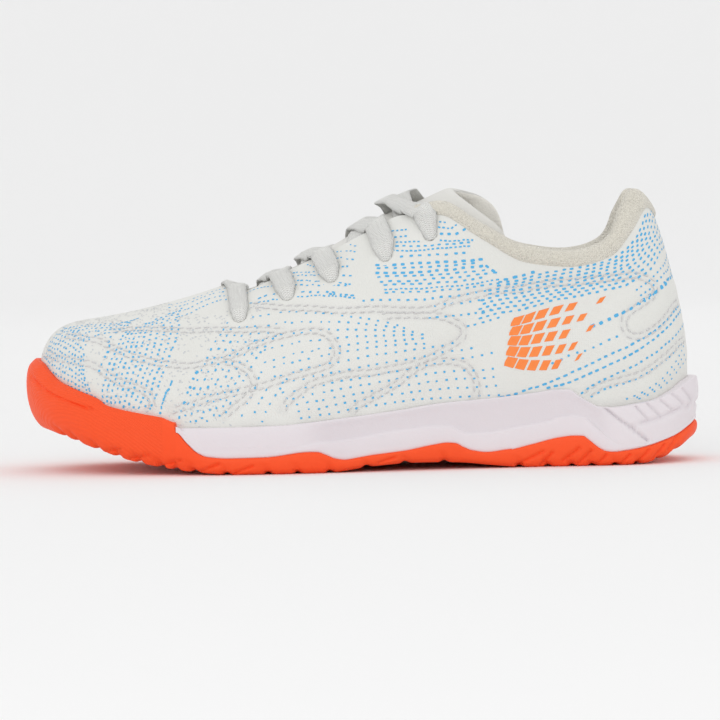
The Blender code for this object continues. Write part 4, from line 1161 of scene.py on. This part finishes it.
def makeFlecks():
    # pale grey specks between the dots of the toe
    rng = np.random.default_rng(21)
    spots = []
    low, high = flecks["places"]
    for _ in range(flecks["count"]):
        place = low + (high - low) * rng.uniform() ** 1.3
        share = rng.uniform(*flecks["shares"]) * (1.0 if place < 4 else 0.75)
        for side in (-1, 1):
            spot = Vector(readNet(netShaped, side * place, share))
            run = Vector(readNet(netShaped, side * (place + 0.05), share)) - spot
            length, width = flecks["length"] * rng.uniform(0.6, 1.2), flecks["width"] * rng.uniform(0.7, 1.2)
            size = (length, width, 0.001)
            spots.append(frameAt(spot, run, flecks["lift"], size, rng.uniform(-0.9, 0.9)))
    shape = bmesh.new()
    bmesh.ops.create_circle(shape, cap_ends=True, segments=6, radius=0.5)
    scatter("toe_flecks", shape, spots, finishes["greyInk"])


tiles = {
    # guides along the block's top and bottom, and how many tiles up and along
    "top": ((-9.58, 0.527), (-10.19, 0.621), (-10.97, 0.70), (-11.84, 0.721)),
    "bottom": ((-9.37, 0.256), (-9.92, 0.243), (-10.45, 0.247), (-10.97, 0.305)),
    "up": 5, "along": 7, "slant": 0.35, "fill": 0.92, "fade": 0.55, "lift": 0.00008,
    # columns past this one have gaps between their tiles
    "solid": 4,
}


def alongGuide(guide, u):
    k = u * (len(guide) - 1)
    i = min(int(k), len(guide) - 2)
    return guide[i] * (1 - k + i) + guide[i + 1] * (k - i)


def makeTiles():
    top, bottom = (refineLine(np.array(tiles[name]), 60) for name in ("top", "bottom"))

    def spotAt(u, v, side):
        u, v = clamp(u), clamp(v)
        place, share = alongGuide(bottom, u) * (1 - v) + alongGuide(top, u) * v
        found, normal, _, _ = netTree.find_nearest(Vector(readNet(netShaped, side * place, share)))
        return found + normal * tiles["lift"]

    form = newForm()
    for side in (1, -1):
        for row in range(tiles["up"]):
            for step in range(tiles["along"]):
                gone = step / (tiles["along"] - 1)
                size = tiles["fill"] * (1 - tiles["fade"] * gone)
                if (row + step) % 2 and step > tiles["solid"]:
                    continue
                middleU = (step + 0.5) / tiles["along"]
                middleV = (row + 0.5) / tiles["up"]
                points = []
                for a in np.linspace(-0.5, 0.5, 9):
                    line = []
                    for b in np.linspace(-0.5, 0.5, 7):
                        lean = tiles["slant"] * b
                        u = middleU + (a * size + lean * size) / tiles["along"]
                        v = middleV + b * size / tiles["up"]
                        line.append(list(spotAt(u, v, side)))
                    points.append(line)
                formSheet(form, np.array(points), flip=side < 0)
    return addPiece("printed_tiles", form, (finishes["orangeInk"],))


makeStitches()
makeDots()
makeFlecks()
makeTiles()
print("stage: prints and stitches ready")

# padded collar

collar = {
    "depth": 0.030, "thick": 0.0066, "start": 7.2, "ease": 2.4, "roll": 0.0046, "over": 0.0005,
    # height of the padded edge by ring place, over its usual height
    "tall": ((7.2, 0.95), (7.8, 1.10), (9.0, 1.15), (10.0, 1.15), (11.5, 1.15), (12.4, 1.40), (13.2, 1.85),
             (14.0, 1.50), (14.6, 1.0), (15.0, 0.9)),
    "sections": 61, "around": 44, "steps": 300, "ends": (0.35, 0.72, 0.93),
}


def rollSection(place):
    # round the pad: up over the edge, down inside and back up along the wall
    place = folded(place)
    out = upperNormal(place, 0.96)
    edge = upperPoint(place, 1.0)
    up = (edge - upperPoint(place, 0.97)).normalized()
    end = min(1.0, (abs(place) - collar["start"]) / collar["ease"])
    thick = collar["thick"] * (0.50 + 0.50 * end)
    roll = collar["roll"] * smoothCurve(collar["tall"], abs(place))
    skin = shoe["wall"] + 3 * shoe["gap"]

    def nearEdge(outwards, upwards):
        return edge + out * outwards + up * upwards

    def downInside(distance, depth):
        return insideUpper(place, shareBelowEdge(place, distance), depth)

    reach = collar["depth"] * (0.35 + 0.65 * end)
    return [
        nearEdge(0.0001, -collar["over"]), nearEdge(0.0010, 0.30 * roll), nearEdge(0.0001, 0.80 * roll),
        nearEdge(-0.0022, roll), nearEdge(-0.6 * (skin + thick), 0.84 * roll),
        nearEdge(-0.96 * (skin + thick), 0.16 * roll),
        downInside(0.22 * reach, skin + 1.06 * thick), downInside(0.60 * reach, skin + 0.72 * thick),
        downInside(reach, skin + 0.20 * thick), downInside(reach, skin),
        downInside(0.60 * reach, skin), downInside(0.22 * reach, skin),
        nearEdge(-skin, 0.0001), nearEdge(-0.0003, 0.0004),
    ]


def makeCollar():
    places = np.linspace(collar["start"], 2 * last - collar["start"], collar["sections"])
    controls = np.array([[list(p) for p in rollSection(place)] for place in places])
    around = refineLine(controls.transpose(1, 0, 2), collar["around"], closed=True).transpose(1, 0, 2)
    points = refineLine(around, collar["steps"])
    middle = points.mean(axis=1, keepdims=True)
    shrink = np.ones(collar["steps"])
    shrink[:3], shrink[-3:] = collar["ends"], collar["ends"][::-1]
    points = middle + (points - middle) * shrink[:, None, None]
    form = newForm()
    formSheet(form, points, closedUp=True)
    closeForm(form)
    piece = addPiece("collar_roll", form, (finishes["knit"],), ("collar_pad",), 70)


makeCollar()
print("stage: collar ready")

# tongue

tongue = {
    "thick": 0.0034, "steps": 110, "across": 49, "turnIn": 3.0, "end": 6,
    # ring places of the arcs between the eyestays, and how far each tucks under the upper's edge
    "places": (1.2, 1.9, 2.7, 3.6, 4.6, 5.6, 6.5), "tucked": (0.0105, 0.0060, 0.0012),
    # ridgeAlong, ridgeHeight, flankAlong, flankHeight, flankHalf of the arcs above the laces
    "top": ((0.590, 0.946, 0.612, 0.790, 0.176), (0.616, 0.974, 0.664, 0.790, 0.186),
            (0.640, 1.000, 0.722, 0.860, 0.200)),
    "parts": (-1.0, -0.90, -0.70, -0.38, 0.0, 0.38, 0.70, 0.90, 1.0),
    "arch": ((1.0, -0.0028), (2.0, 0.0010), (3.0, 0.0024), (4.0, 0.0030), (5.0, 0.0038),
             (6.0, 0.0048), (7.0, 0.0046)),
}


def tongueArc(place):
    skin = shoe["wall"] + 2.4 * shoe["gap"]
    flanks = []
    for side in (-1, 1):
        flanks.append([insideUpper(side * place, shareBelowEdge(side * place, distance), skin)
                       for distance in tongue["tucked"]])
    left, right = flanks[0], flanks[1][::-1]
    ridge = (left[-1] + right[0]) / 2
    ridge.z += smoothCurve(tongue["arch"], place)
    between = []
    for side in (left[-1], right[0]):
        point = side.lerp(ridge, 0.5)
        point.z = side.z + (ridge.z - side.z) * 0.78
        between.append(point)
    return left + [between[0], ridge, between[1]] + right


def tongueTopArc(row):
    ridgeAlong, ridgeHeight, flankAlong, flankHeight, flankHalf = row
    arc = []
    middle = throatMiddle(ridgeAlong)
    for part in tongue["parts"]:
        angle = abs(part) * math.pi / 2
        across = math.copysign(math.sin(angle), part)
        back = 1 - math.cos(angle)
        if part < 0:
            drop = 0.8 * back ** 0.9 + 0.2 * back ** 12
        else:
            drop = 0.6 * back ** 2.2 + 0.4 * back ** 14
        x = atAlong(ridgeAlong + (flankAlong - ridgeAlong) * back)
        top, low = shoe["tongueTop"] * ridgeHeight, shoe["collar"] * flankHeight
        arc.append(Vector((x, middle + shoe["ball"] * flankHalf * across, top + (low - top) * drop)))
    return arc


def makeTongue():
    steps, across = tongue["steps"], tongue["across"]
    arcs = [tongueArc(place) for place in tongue["places"]]
    arcs += [tongueTopArc(row) for row in tongue["top"]]
    outer = refineGrid(np.array([[list(p) for p in arc] for arc in arcs]), steps, across)
    inward = np.cross(np.gradient(outer, axis=1), np.gradient(outer, axis=0))
    inward /= np.linalg.norm(inward, axis=2, keepdims=True)
    edge = np.minimum(np.arange(across), np.arange(across)[::-1]) / tongue["turnIn"]
    taper = np.sqrt(1 - (1 - np.minimum(edge, 1.0)) ** 2)
    end = np.minimum(np.arange(steps)[::-1], tongue["end"]) / tongue["end"]
    thick = tongue["thick"] * (0.25 + 0.75 * taper)[None, :] * np.sqrt(1 - (1 - end) ** 2 * 0.9)[:, None]
    outward = (thick - tongue["thick"]) * 0.5
    skin = outer + inward * (-outward)[:, :, None]
    lining = skin + inward * thick[:, :, None]
    form = newForm()
    formSheet(form, np.concatenate((skin, lining[:, ::-1]), axis=1), closedUp=True)
    place = form.loops.layers.uv["surface"]
    for face in form.faces:
        face.material_index = 1 if middleUp(face, place) > 0.5 else 0
    closeForm(form)
    piece = addPiece("tongue_sheet", form, (finishes["tongue"], finishes["litTongueLining"]),
                     ("tongue",), 60)
    return piece


makeTongue()
print("stage: tongue ready")

# laces

lace = {
    "width": 0.0078, "thick": 0.0011, "widths": (0.84, 0.93, 1.0, 1.03, 0.96),
    "start": 0.030, "straight": 0.25, "clear": 0.0005, "drop": 0.0018, "most": 0.0035, "tuck": 0.0030,
    "taper": 0.0042, "narrow": 0.56, "steps": 61, "around": 28,
    # how far each row's near band arches over the far one, and the top row's far band
    "rise": (0.0, 0.0013, 0.0013, 0.0013, 0.0042), "hump": 0.0037, "skew": 0.7,
    # how far forward of its eyelet a band crosses the ridge: near side's bands, far side's bands
    "near": (0.012, 0.034, 0.046, 0.042, 0.075), "far": (0.010, 0.028, 0.030, 0.036, 0.045),
    # where a band dives into its eyelet: depth, width, way ahead and lean of its last sections
    "dive": ((-0.0036, 0.80, 0.0000, 1.0), (-0.0018, 0.88, -0.0002, 0.95), (-0.0004, 0.96, 0.0000, 0.75)),
}
parts = np.linspace(-1, 1, 7)       # the seven points across a band


def lacingBed(side):
    # one eyestay with the tongue beside it
    points, faces = [], []

    def sheet(rows):
        first, wide = len(points), len(rows[0])
        for row in rows:
            points.extend(row)
        for i in range(len(rows) - 1):
            for j in range(wide - 1):
                a = first + i * wide + j
                faces.append((a, a + 1, a + wide + 1, a + wide))

    sheet([[upperPoint(side * i * 0.2, 0.2 + 0.8 * k / 30) for k in range(31)] for i in range(48)])
    arcs = [tongueArc(0.8 + 0.3 * i) for i in range(20)]
    sheet(arcs + [tongueTopArc(row) for row in tongue["top"]])
    return BVHTree.FromPolygons(points, faces)


def tautLine(bed, spots, lift):
    # over the bed above the spots in plan, pulled tight across its hollows
    down = Vector((0.0, 0.0, -1.0))
    fine, found = list(spots), []
    for i, spot in enumerate(fine):
        hit, normal, _, _ = bed.ray_cast(Vector((spot.x, spot.y, 0.2)), down)
        if hit:
            fine[i] = hit + Vector((0.0, 0.0, lift / max(abs(normal.z), 0.4)))
            found.append(i)
    for i, point in enumerate(fine):
        point.z = fine[min(found, key=lambda k: abs(k - i))].z
    heights = np.array([point.z for point in fine])
    count = len(fine)
    for i, point in enumerate(fine):
        for a in range(i):
            b = np.arange(i + 1, count)
            if len(b):
                chord = heights[a] + (heights[b] - heights[a]) * (i - a) / (b - a)
                point.z = max(point.z, float(chord.max()))
    return fine


def eased(values):
    return (values[:-2] + 2 * values[1:-1] + values[2:]) / 4


def laceRun(bed, side, index, lean, lift, skew=1.0):
    # the points across a flat band and its normal, step by step from an eyelet, over the tongue
    # and under the other edge
    place, share = eyeletSpots[index]
    start = upperPoint(side * place, share)
    ridge = eyelets["along"][index] - lean
    middle = Vector((atAlong(ridge), throatMiddle(ridge), 0.0))
    if index:
        tail = eyelets["along"][index] - eyelets["tail"][index]
        edgePlace = searchPlace(lambda at: sectionValue("topAlong", at) < tail)
        end = columnAt(-side * edgePlace).edge.copy()
        end.y -= side * lace["tuck"]
    else:
        end = upperPoint(-side * place, share + lace["start"])
    joints = [Vector((joint.x, joint.y, 0.0)) for joint in (start, middle, end)]
    count = lace["steps"]
    spots = []
    for i in range(count):
        gone = i / (count - 1) * 2
        k = min(int(gone), 1)
        onLine = joints[k].lerp(joints[k + 1], gone - k)
        spots.append(onLine.lerp(joints[0].lerp(joints[2], gone / 2), lace["straight"]))
    for _ in range(5):
        inner = [(a + b * 2 + c) / 4 for a, b, c in zip(spots, spots[1:], spots[2:])]
        spots = [spots[0]] + inner + [spots[-1]]
    centre = np.array([list(spot) for spot in tautLine(bed, spots, lace["clear"])])
    normals = []
    for spot in centre:
        normal = bed.find_nearest(Vector(spot))[1]
        normals.append(list(-normal if normal.z < 0 else normal))
    normals = np.array(normals)
    for _ in range(24):
        normals[1:-1] = eased(normals)
        centre[1:-1, 2] = np.maximum(centre[1:-1, 2], (centre[:-2, 2] + centre[2:, 2]) / 2)
    gone = lengthsAlong(centre)
    rows = np.zeros((count, len(parts), 3))
    heights = np.zeros((count, len(parts)))
    ups = np.zeros((count, 3))
    for i in range(count):
        run = Vector(centre[min(i + 1, count - 1)] - centre[max(i - 1, 0)]).normalized()
        normal = Vector(normals[i])
        normal = (normal - run * normal.dot(run)).normalized()
        away = gone[i] if index else min(gone[i], gone[-1] - gone[i])
        half = normal.cross(run) * widthAt(away) * lace["widths"][index] * lace["width"] / 2
        ups[i] = normal
        for k, part in enumerate(parts):
            spot = Vector(centre[i]) + half * part
            rows[i, k] = spot
            above = 0.008
            hit, _, _, far = bed.ray_cast(spot + normal * above, -normal)
            height = above - far + lace["clear"] if hit else -lace["drop"]
            heights[i, k] = clamp(height, -lace["drop"] * part * part, lace["most"])
    # soft along and across, and never under the bed
    soft = heights.copy()
    for _ in range(10):
        soft[1:-1] = eased(soft)
        soft[:, 1:-1] = eased(soft.T).T
        soft = np.maximum(soft, heights)
    rise = lift * np.sin(math.pi * np.linspace(0, 1, count) ** skew) ** 1.6
    rows += (soft + rise[:, None])[:, :, None] * ups[:, None, :]
    return [[rows[i], ups[i]] for i in range(count)]


def widthAt(away):
    gone = min(away / lace["taper"], 1.0)
    return lace["narrow"] + (1 - lace["narrow"]) * math.sqrt(1 - (1 - gone) ** 2)


def tuckedStart(sections, side, index):
    # the band narrows into its eyelet and goes under the sheet
    place, share = eyeletSpots[index]
    middle, normal = onUpper(side * place, share)
    row = sections[2][0]
    across = Vector(row[-1] - row[0]).normalized()
    along = Vector(sections[6][0][3] - sections[1][0][3]).normalized()
    half = lace["narrow"] * lace["width"] / 2
    added = []
    for depth, share, ahead, lean in lace["dive"]:
        centre = middle + normal * depth + along * (ahead - 0.0004)
        up = (normal * (1 - lean) - along * lean).normalized()
        row = [list(centre + across * half * share * part) for part in parts]
        added.append([np.array(row), np.array(up)])
    return added + sections[2:]


def bandForm(form, sections):
    data = np.array([np.vstack((row, up)) for row, up in sections])
    fine = refineLine(data, 3 * len(sections))
    rows, normal = fine[:, :7], fine[:, 7]
    normal = normal / np.linalg.norm(normal, axis=1, keepdims=True)
    around = lace["around"]
    rings = []
    for k in range(around):
        angle = 2 * math.pi * k / around
        x, y = math.cos(angle), math.sin(angle)
        wide = math.copysign(abs(x) ** 0.5, x)
        tall = math.copysign(abs(y) ** 0.7, y)
        hollow = 0.16 * (1 - abs(wide) ** 2) if y > 0 else 0.0
        part = (wide + 1) * 3
        left = min(int(part), 5)
        spot = rows[:, left] * (1 - part + left) + rows[:, left + 1] * (part - left)
        rings.append(spot + normal * (lace["thick"] / 2 * (1 + tall - hollow)))
    points = np.array(rings).transpose(1, 0, 2)
    faces = formSheet(form, points, closedUp=True)
    place = form.loops.layers.uv["surface"]
    gone = lengthsAlong(rows[:, 3])
    for face in faces:
        for loop in face.loops:
            along, turn = loop[place].uv
            reached = float(np.interp(along, np.linspace(0, 1, len(gone)), gone))
            loop[place].uv = (abs(turn * 2 - 1), reached / lace["width"])
    return faces


def makeLaces():
    beds = {side: lacingBed(side) for side in (-1, 1)}
    for index in range(5):
        form = newForm()
        hump = lace["hump"] if index == 4 else 0.0
        near = laceRun(beds[-1], -1, index, lace["near"][index], lace["rise"][index])
        far = laceRun(beds[1], 1, index, lace["far"][index], hump, lace["skew"])
        near, far = tuckedStart(near, -1, index), tuckedStart(far, 1, index)
        if index:
            bandForm(form, near)
            bandForm(form, far)
        else:
            bandForm(form, near[:33] + far[:32][::-1])
        closeForm(form)
        node = f"lace_cross_{index}" if index else "lace_bar"
        addPiece(f"lace_row_{index + 1}", form, (finishes["lace"],), (node,), 70)


makeLaces()
print("stage: laces ready")

# sole

sole = {
    "columns": 1080, "wallRows": 34, "treadRows": 90, "foamRows": 84, "foamStart": 0.2285,
    # how the wall's foot tucks in, how the foam flares at the heel, and where it has its ledge
    "tuck": ((0.0, 1.0), (0.06, 0.75), (0.16, 0.15), (0.30, 0.0), (0.88, 0.0), (1.0, 0.6)),
    "flare": ((0.93, 0.0), (0.99, 1.0)), "ledge": ((0.40, 0.0), (0.46, 1.0), (0.84, 1.0), (0.88, 0.0)),
    "notchDepth": 0.0013, "notchWidth": 0.0013, "notchTop": 0.0042,
    # notches in the sole's side edge, in metres from the toe tip
    "notches": (0.011, 0.016, 0.024, 0.0315, 0.039, 0.0465, 0.0515, 0.058, 0.069, 0.083, 0.093, 0.104,
                0.116, 0.129, 0.142, 0.167, 0.176, 0.184, 0.191, 0.199, 0.207, 0.215, 0.221),
    # slanted cuts in the sole's side: foot and top of each, metres from the toe tip and height
    "cuts": ((0.166, 0.0010, 0.1745, 0.0052), (0.1735, 0.0006, 0.1775, 0.0048),
             (0.181, 0.0020, 0.1865, 0.0062), (0.186, 0.0010, 0.1905, 0.0052),
             (0.1925, 0.0005, 0.1955, 0.0036), (0.2005, 0.0006, 0.2035, 0.0034),
             (0.2065, 0.0010, 0.2100, 0.0048), (0.2120, 0.0020, 0.2155, 0.0062),
             (0.2170, 0.0045, 0.2200, 0.0088), (0.060, 0.0012, 0.0665, 0.0038),
             (0.036, 0.0056, 0.0430, 0.0068), (0.027, 0.0078, 0.0330, 0.0088),
             (0.047, 0.0034, 0.0540, 0.0050), (0.072, 0.0008, 0.0780, 0.0030),
             (0.120, 0.0030, 0.1250, 0.0046)),
    "cutDepth": 0.0009, "cutWidth": 0.00055, "toeLineWidth": 0.0005,
    # line pressed into the toe rubber, and the edge of the foam's proud lower band
    "toeLine": ((0.0022, 0.0323), (0.0062, 0.0288), (0.0103, 0.0265), (0.0153, 0.0245),
                (0.0200, 0.0232), (0.0240, 0.0223)),
    "band": ((0.090, 0.0088), (0.102, 0.0103), (0.1065, 0.0105), (0.111, 0.0110), (0.1205, 0.0126),
             (0.130, 0.0137), (0.139, 0.0145), (0.144, 0.0142), (0.147, 0.0129), (0.1507, 0.0118),
             (0.155, 0.0118), (0.167, 0.0136), (0.176, 0.0151), (0.180, 0.0165), (0.185, 0.0168),
             (0.188, 0.0164), (0.191, 0.0141), (0.196, 0.0094), (0.199, 0.0071)),
    # heel clip: where it starts, its front crease, its foot, and its ribs
    "clipStart": 0.188, "clipDepth": 0.0009, "footDepth": 0.0007, "ribDepth": 0.0006,
    "clipWidth": 0.00045, "ribWidth": 0.0004,
    "clip": ((0.1945, 0.0199), (0.1968, 0.0181), (0.2005, 0.0150), (0.2039, 0.0126), (0.2097, 0.0080)),
    "clipFoot": ((0.2039, 0.0126), (0.2100, 0.0146), (0.2144, 0.0157), (0.2189, 0.0174), (0.2222, 0.0184),
                 (0.2262, 0.0192), (0.2290, 0.0195)),
    "clipRibs": ((0.2060, 0.0194, 0.2100, 0.0150), (0.2100, 0.0204, 0.2144, 0.0159),
                 (0.2144, 0.0218, 0.2185, 0.0176), (0.2188, 0.0231, 0.2222, 0.0194),
                 (0.2222, 0.0246, 0.2250, 0.0204)),
    # grooves across the tread: first, final and count of each field
    "grooves": ((0.085, 0.46, 9), (0.735, 0.975, 6)),
    "grooveWidth": 0.0024, "grooveDepth": 0.0016, "grooveLean": 0.28,
}
soleColumns = [columnAt(place) for place in np.linspace(-last, last, sole["columns"], endpoint=False)]


def notchAt(along, lean):
    reach = along * shoe["length"] + lean
    return max(bell(reach - notch, sole["notchWidth"]) for notch in sole["notches"])


def awayFrom(reach, height, line):
    # distance from a line of points along the length and up
    best = 1.0
    for (a, b), (c, d) in zip(line, line[1:]):
        size = (c - a) ** 2 + (d - b) ** 2
        t = clamp(((reach - a) * (c - a) + (height - b) * (d - b)) / size)
        best = min(best, math.hypot(reach - a - t * (c - a), height - b - t * (d - b)))
    return best


def outsoleProfile(item):
    # (inset, height) up the rubber's side, from under the edge to the lip
    along = item.along
    low, top = treadLevel(along), rubberTop(along)
    tuck = shoe["edge"] * smoothCurve(sole["tuck"], along)
    tip = tuck if along < 0.5 else 0.0
    tall = top - low
    return np.array([
        (2.2 * shoe["edge"] + 1.2 * tuck, low), (shoe["edge"] + 0.9 * tuck, low),
        (0.35 * shoe["edge"] + 0.45 * tuck, low + 0.16 * tall + 0.0002),
        (0.10 * shoe["edge"] + 0.10 * tuck, low + 0.42 * tall), (0.08 * tip, low + 0.70 * tall),
        (0.0001 + 0.10 * tuck + 0.22 * tip, low + 0.90 * tall),
        (0.0004 + 0.30 * tuck + 0.45 * tip, top - 0.0002),
    ])


def makeOutsole():
    points = []
    for item in soleColumns:
        along, low = item.along, treadLevel(item.along)
        profile = refineLine(outsoleProfile(item), sole["wallRows"])
        bumper = along < shoe["bumperEnd"]
        reach = along * shoe["length"]
        line = []
        for k, (inset, height) in enumerate(profile):
            lift = height - low
            cut = notchAt(along, 0.35 * lift) * max(0.0, 1 - lift / sole["notchTop"])
            inset += sole["notchDepth"] * cut
            if k < 12:
                height += 0.6 * sole["notchDepth"] * cut
            if bumper:
                # groove line below the lip, and the step where the rubber thickens
                away = awayFrom(reach, height, sole["toeLine"])
                inset += sole["cutDepth"] * bell(away, sole["toeLineWidth"])
                inset += 0.0004 * min(clamp((along - 0.104) / 0.006), clamp((0.226 - along) / 0.03))
            for a, b, c, d in sole["cuts"]:
                if abs(reach - a) < 0.012:
                    away = awayFrom(reach, height, ((a, b), (c, d)))
                    inset += sole["cutDepth"] * bell(away, sole["cutWidth"])
            line.append(item.solePoint(inset, max(height, low)))
        top = line[-1]
        if bumper:
            share = shareAtHeight(folded(item.place), rubberTop(along))
            wall = Vector(item.profile(np.array([share]))[0]) + item.out * 0.00005
            rise = (wall - top) * 0.5
            line.append(top + rise * 0.6 + Vector((0, 0, 0.0006)))
            line.append(top + rise * 1.5 + Vector((0, 0, 0.0004)))
            line.append(wall - item.out * 0.0004 - Vector((0, 0, 0.0004)))
        else:
            line.append(top + Vector((0, 0, 0.0002)) - item.out * 0.0003)
            line.append(top + Vector((0, 0, 0.0001)) - item.out * 0.0012)
            line.append(top - item.out * 0.0030 - Vector((0, 0, 0.0004)))
        points.append([list(p) for p in line])
    form = newForm()
    formSheet(form, np.array(points), closedAcross=True)
    # the tread, row by row from the toe, between the outer side's foot and the inner side's
    ring = [np.array(line[0]) for line in points]
    toe = len(ring) // 2
    tread = []
    for k in range(toe + 1):
        outer, inner = ring[toe - k], ring[(toe + k) % len(ring)]
        row = []
        for t in np.arange(sole["treadRows"] + 1) / sole["treadRows"]:
            spot = outer * (1 - t) + inner * t
            spot[2] += grooveLift(spot[0], spot[1]) * min(1.0, 8 * min(t, 1 - t))
            row.append(spot)
        tread.append(row)
    formSheet(form, np.array(tread))
    bmesh.ops.remove_doubles(form, verts=form.verts, dist=2e-6)
    bmesh.ops.recalc_face_normals(form, faces=form.faces)
    return addPiece("outsole_rubber", form, (finishes["rubber"],), ("outsole",), 40)


def grooveLift(x, y):
    along = clamp(x / shoe["length"] + 0.5)
    half = halfWidth(along) + 0.006
    part = (y - middleLine(along)) / half
    back = x - sole["grooveLean"] * (abs(part) - 0.5) * shoe["ball"] / 3
    deep = 0.0
    for first, final, count in sole["grooves"]:
        for k in range(count):
            away = abs(back - atAlong(first + (final - first) * k / (count - 1)))
            wide = sole["grooveWidth"] / 2
            deep = max(deep, clamp((wide + 0.0003 - away) / 0.0006))
    return deep * sole["grooveDepth"]


def makeMidsole():
    clipLines = [(sole["clip"], sole["clipDepth"], sole["clipWidth"]),
                 (sole["clipFoot"], sole["footDepth"], sole["ribWidth"])]
    clipLines += [(((a, b), (c, d)), sole["ribDepth"], sole["ribWidth"]) for a, b, c, d in sole["clipRibs"]]
    points, sunkShade = [], []
    shown = [item for item in soleColumns if item.along > sole["foamStart"]]
    inner = [item for item in shown if item.place > 0]
    outer = [item for item in shown if item.place < 0]
    for item in inner + outer:
        along = item.along
        base = rubberTop(along) + 0.0001
        top = rimTop(along)
        flare = shoe["flare"] * smoothCurve(sole["flare"], along)
        step = shoe["step"] * smoothCurve(sole["ledge"], along)
        reach = along * shoe["length"]
        ledge = clamp(smoothCurve(sole["band"], reach), base + 0.0012, base + 0.62 * (top - base))
        wall = shareAtHeight(item.place, top)
        upper = Vector(item.profile(np.array([wall]))[0])
        skin = 0.0004
        controls = [
            item.solePoint(0.0060, base - 0.0016), item.solePoint(skin + 0.0022, base - 0.0010),
            item.solePoint(skin + 0.0004, base), item.solePoint(skin, base + 0.40 * (ledge - base)),
            item.solePoint(skin, ledge - 0.0009), item.solePoint(skin + 0.10 * step, ledge - 0.0003),
            item.solePoint(skin + 0.75 * step, ledge + 0.0003), item.solePoint(skin + step, ledge + 0.0010),
            item.solePoint(skin + 0.7 * step + 0.0002 - flare, ledge + 0.60 * (top - ledge)),
            item.solePoint(skin + 0.0006 - flare, top - 0.0008),
            item.solePoint(skin + 0.0010 - flare, top - 0.0001),
        ]
        lip = item.solePoint(skin + 0.0018 - flare, top + 0.0001)
        seat = upper + item.out * 0.0001
        seat.z = top - 0.0002
        controls += [lip.lerp(seat, 0.3), seat, seat - item.out * 0.0006 - Vector((0, 0, 0.0016))]
        row = refineLine(np.array([list(p) for p in controls]), sole["foamRows"])
        for spot in row:
            # painted shade: the foam is painted a tone darker above the ledge and in the clip's creases
            tone = 0.22 * step / shoe["step"] * clamp((spot[2] - ledge) / 0.0006)
            if reach > sole["clipStart"]:
                clip = 0.0
                for line, depth, width in clipLines:
                    clip += depth * bell(awayFrom(reach, spot[2], line), width)
                clip = min(clip, sole["clipDepth"])
                spot[:2] -= np.array(item.out[:2]) * clip
                tone += 520 * clip
            sunkShade.append(tone if spot[2] < top - 0.0004 else 0.0)
        points.append(row)
    form = newForm()
    formSheet(form, np.array(points))
    tree = pointTree([spot for row in points for spot in row])
    bmesh.ops.recalc_face_normals(form, faces=form.faces)
    if sum(face.normal.xy.dot(face.calc_center_median().xy) for face in form.faces) < 0:
        bmesh.ops.reverse_faces(form, faces=form.faces)
    piece = addPiece("midsole_foam", form, (finishes["foam"],), ("midsole",), 45)
    shadeOf = piece.data.attributes.new("sunkShade", "FLOAT", "POINT")
    for i, vert in enumerate(piece.data.vertices):
        shadeOf.data[i].value = sunkShade[tree.find(vert.co)[1]]
    return piece


insole = {
    "columns": 240, "rows": 16, "across": 30,
    # inset and height of the edge's profile
    "edge": ((0.004, 0.0), (0.0, 0.0004), (0.0, 0.0024), (0.0004, 0.0030), (0.0012, 0.0032),
             (0.007, 0.0028)),
}


def makeInsole():
    margin = shoe["wall"] + 2 * shoe["gap"]
    points = []
    for place in np.linspace(-last, last, insole["columns"], endpoint=False):
        item = columnAt(place)
        level = boardLevel(item.along) + shoe["gap"]
        controls = [list(item.solePoint(item.inset + margin + inset, level + lift))
                    for inset, lift in insole["edge"]]
        points.append(refineLine(np.array(controls), insole["rows"]))
    form = newForm()
    formSheet(form, np.array(points), closedAcross=True)
    rows = []
    toe = len(points) // 2
    for k in range(toe + 1):
        a, b = points[toe - k][-1], points[(toe + k) % len(points)][-1]
        rows.append([a * (1 - t) + b * t for t in np.linspace(0, 1, insole["across"])])
    formSheet(form, np.array(rows))
    bmesh.ops.remove_doubles(form, verts=form.verts, dist=2e-6)
    bmesh.ops.recalc_face_normals(form, faces=form.faces)
    return addPiece("insole_cloth", form, (finishes["lining"],), ("insole",), 60)


makeOutsole()
makeMidsole()
makeInsole()
print("stage: sole ready")
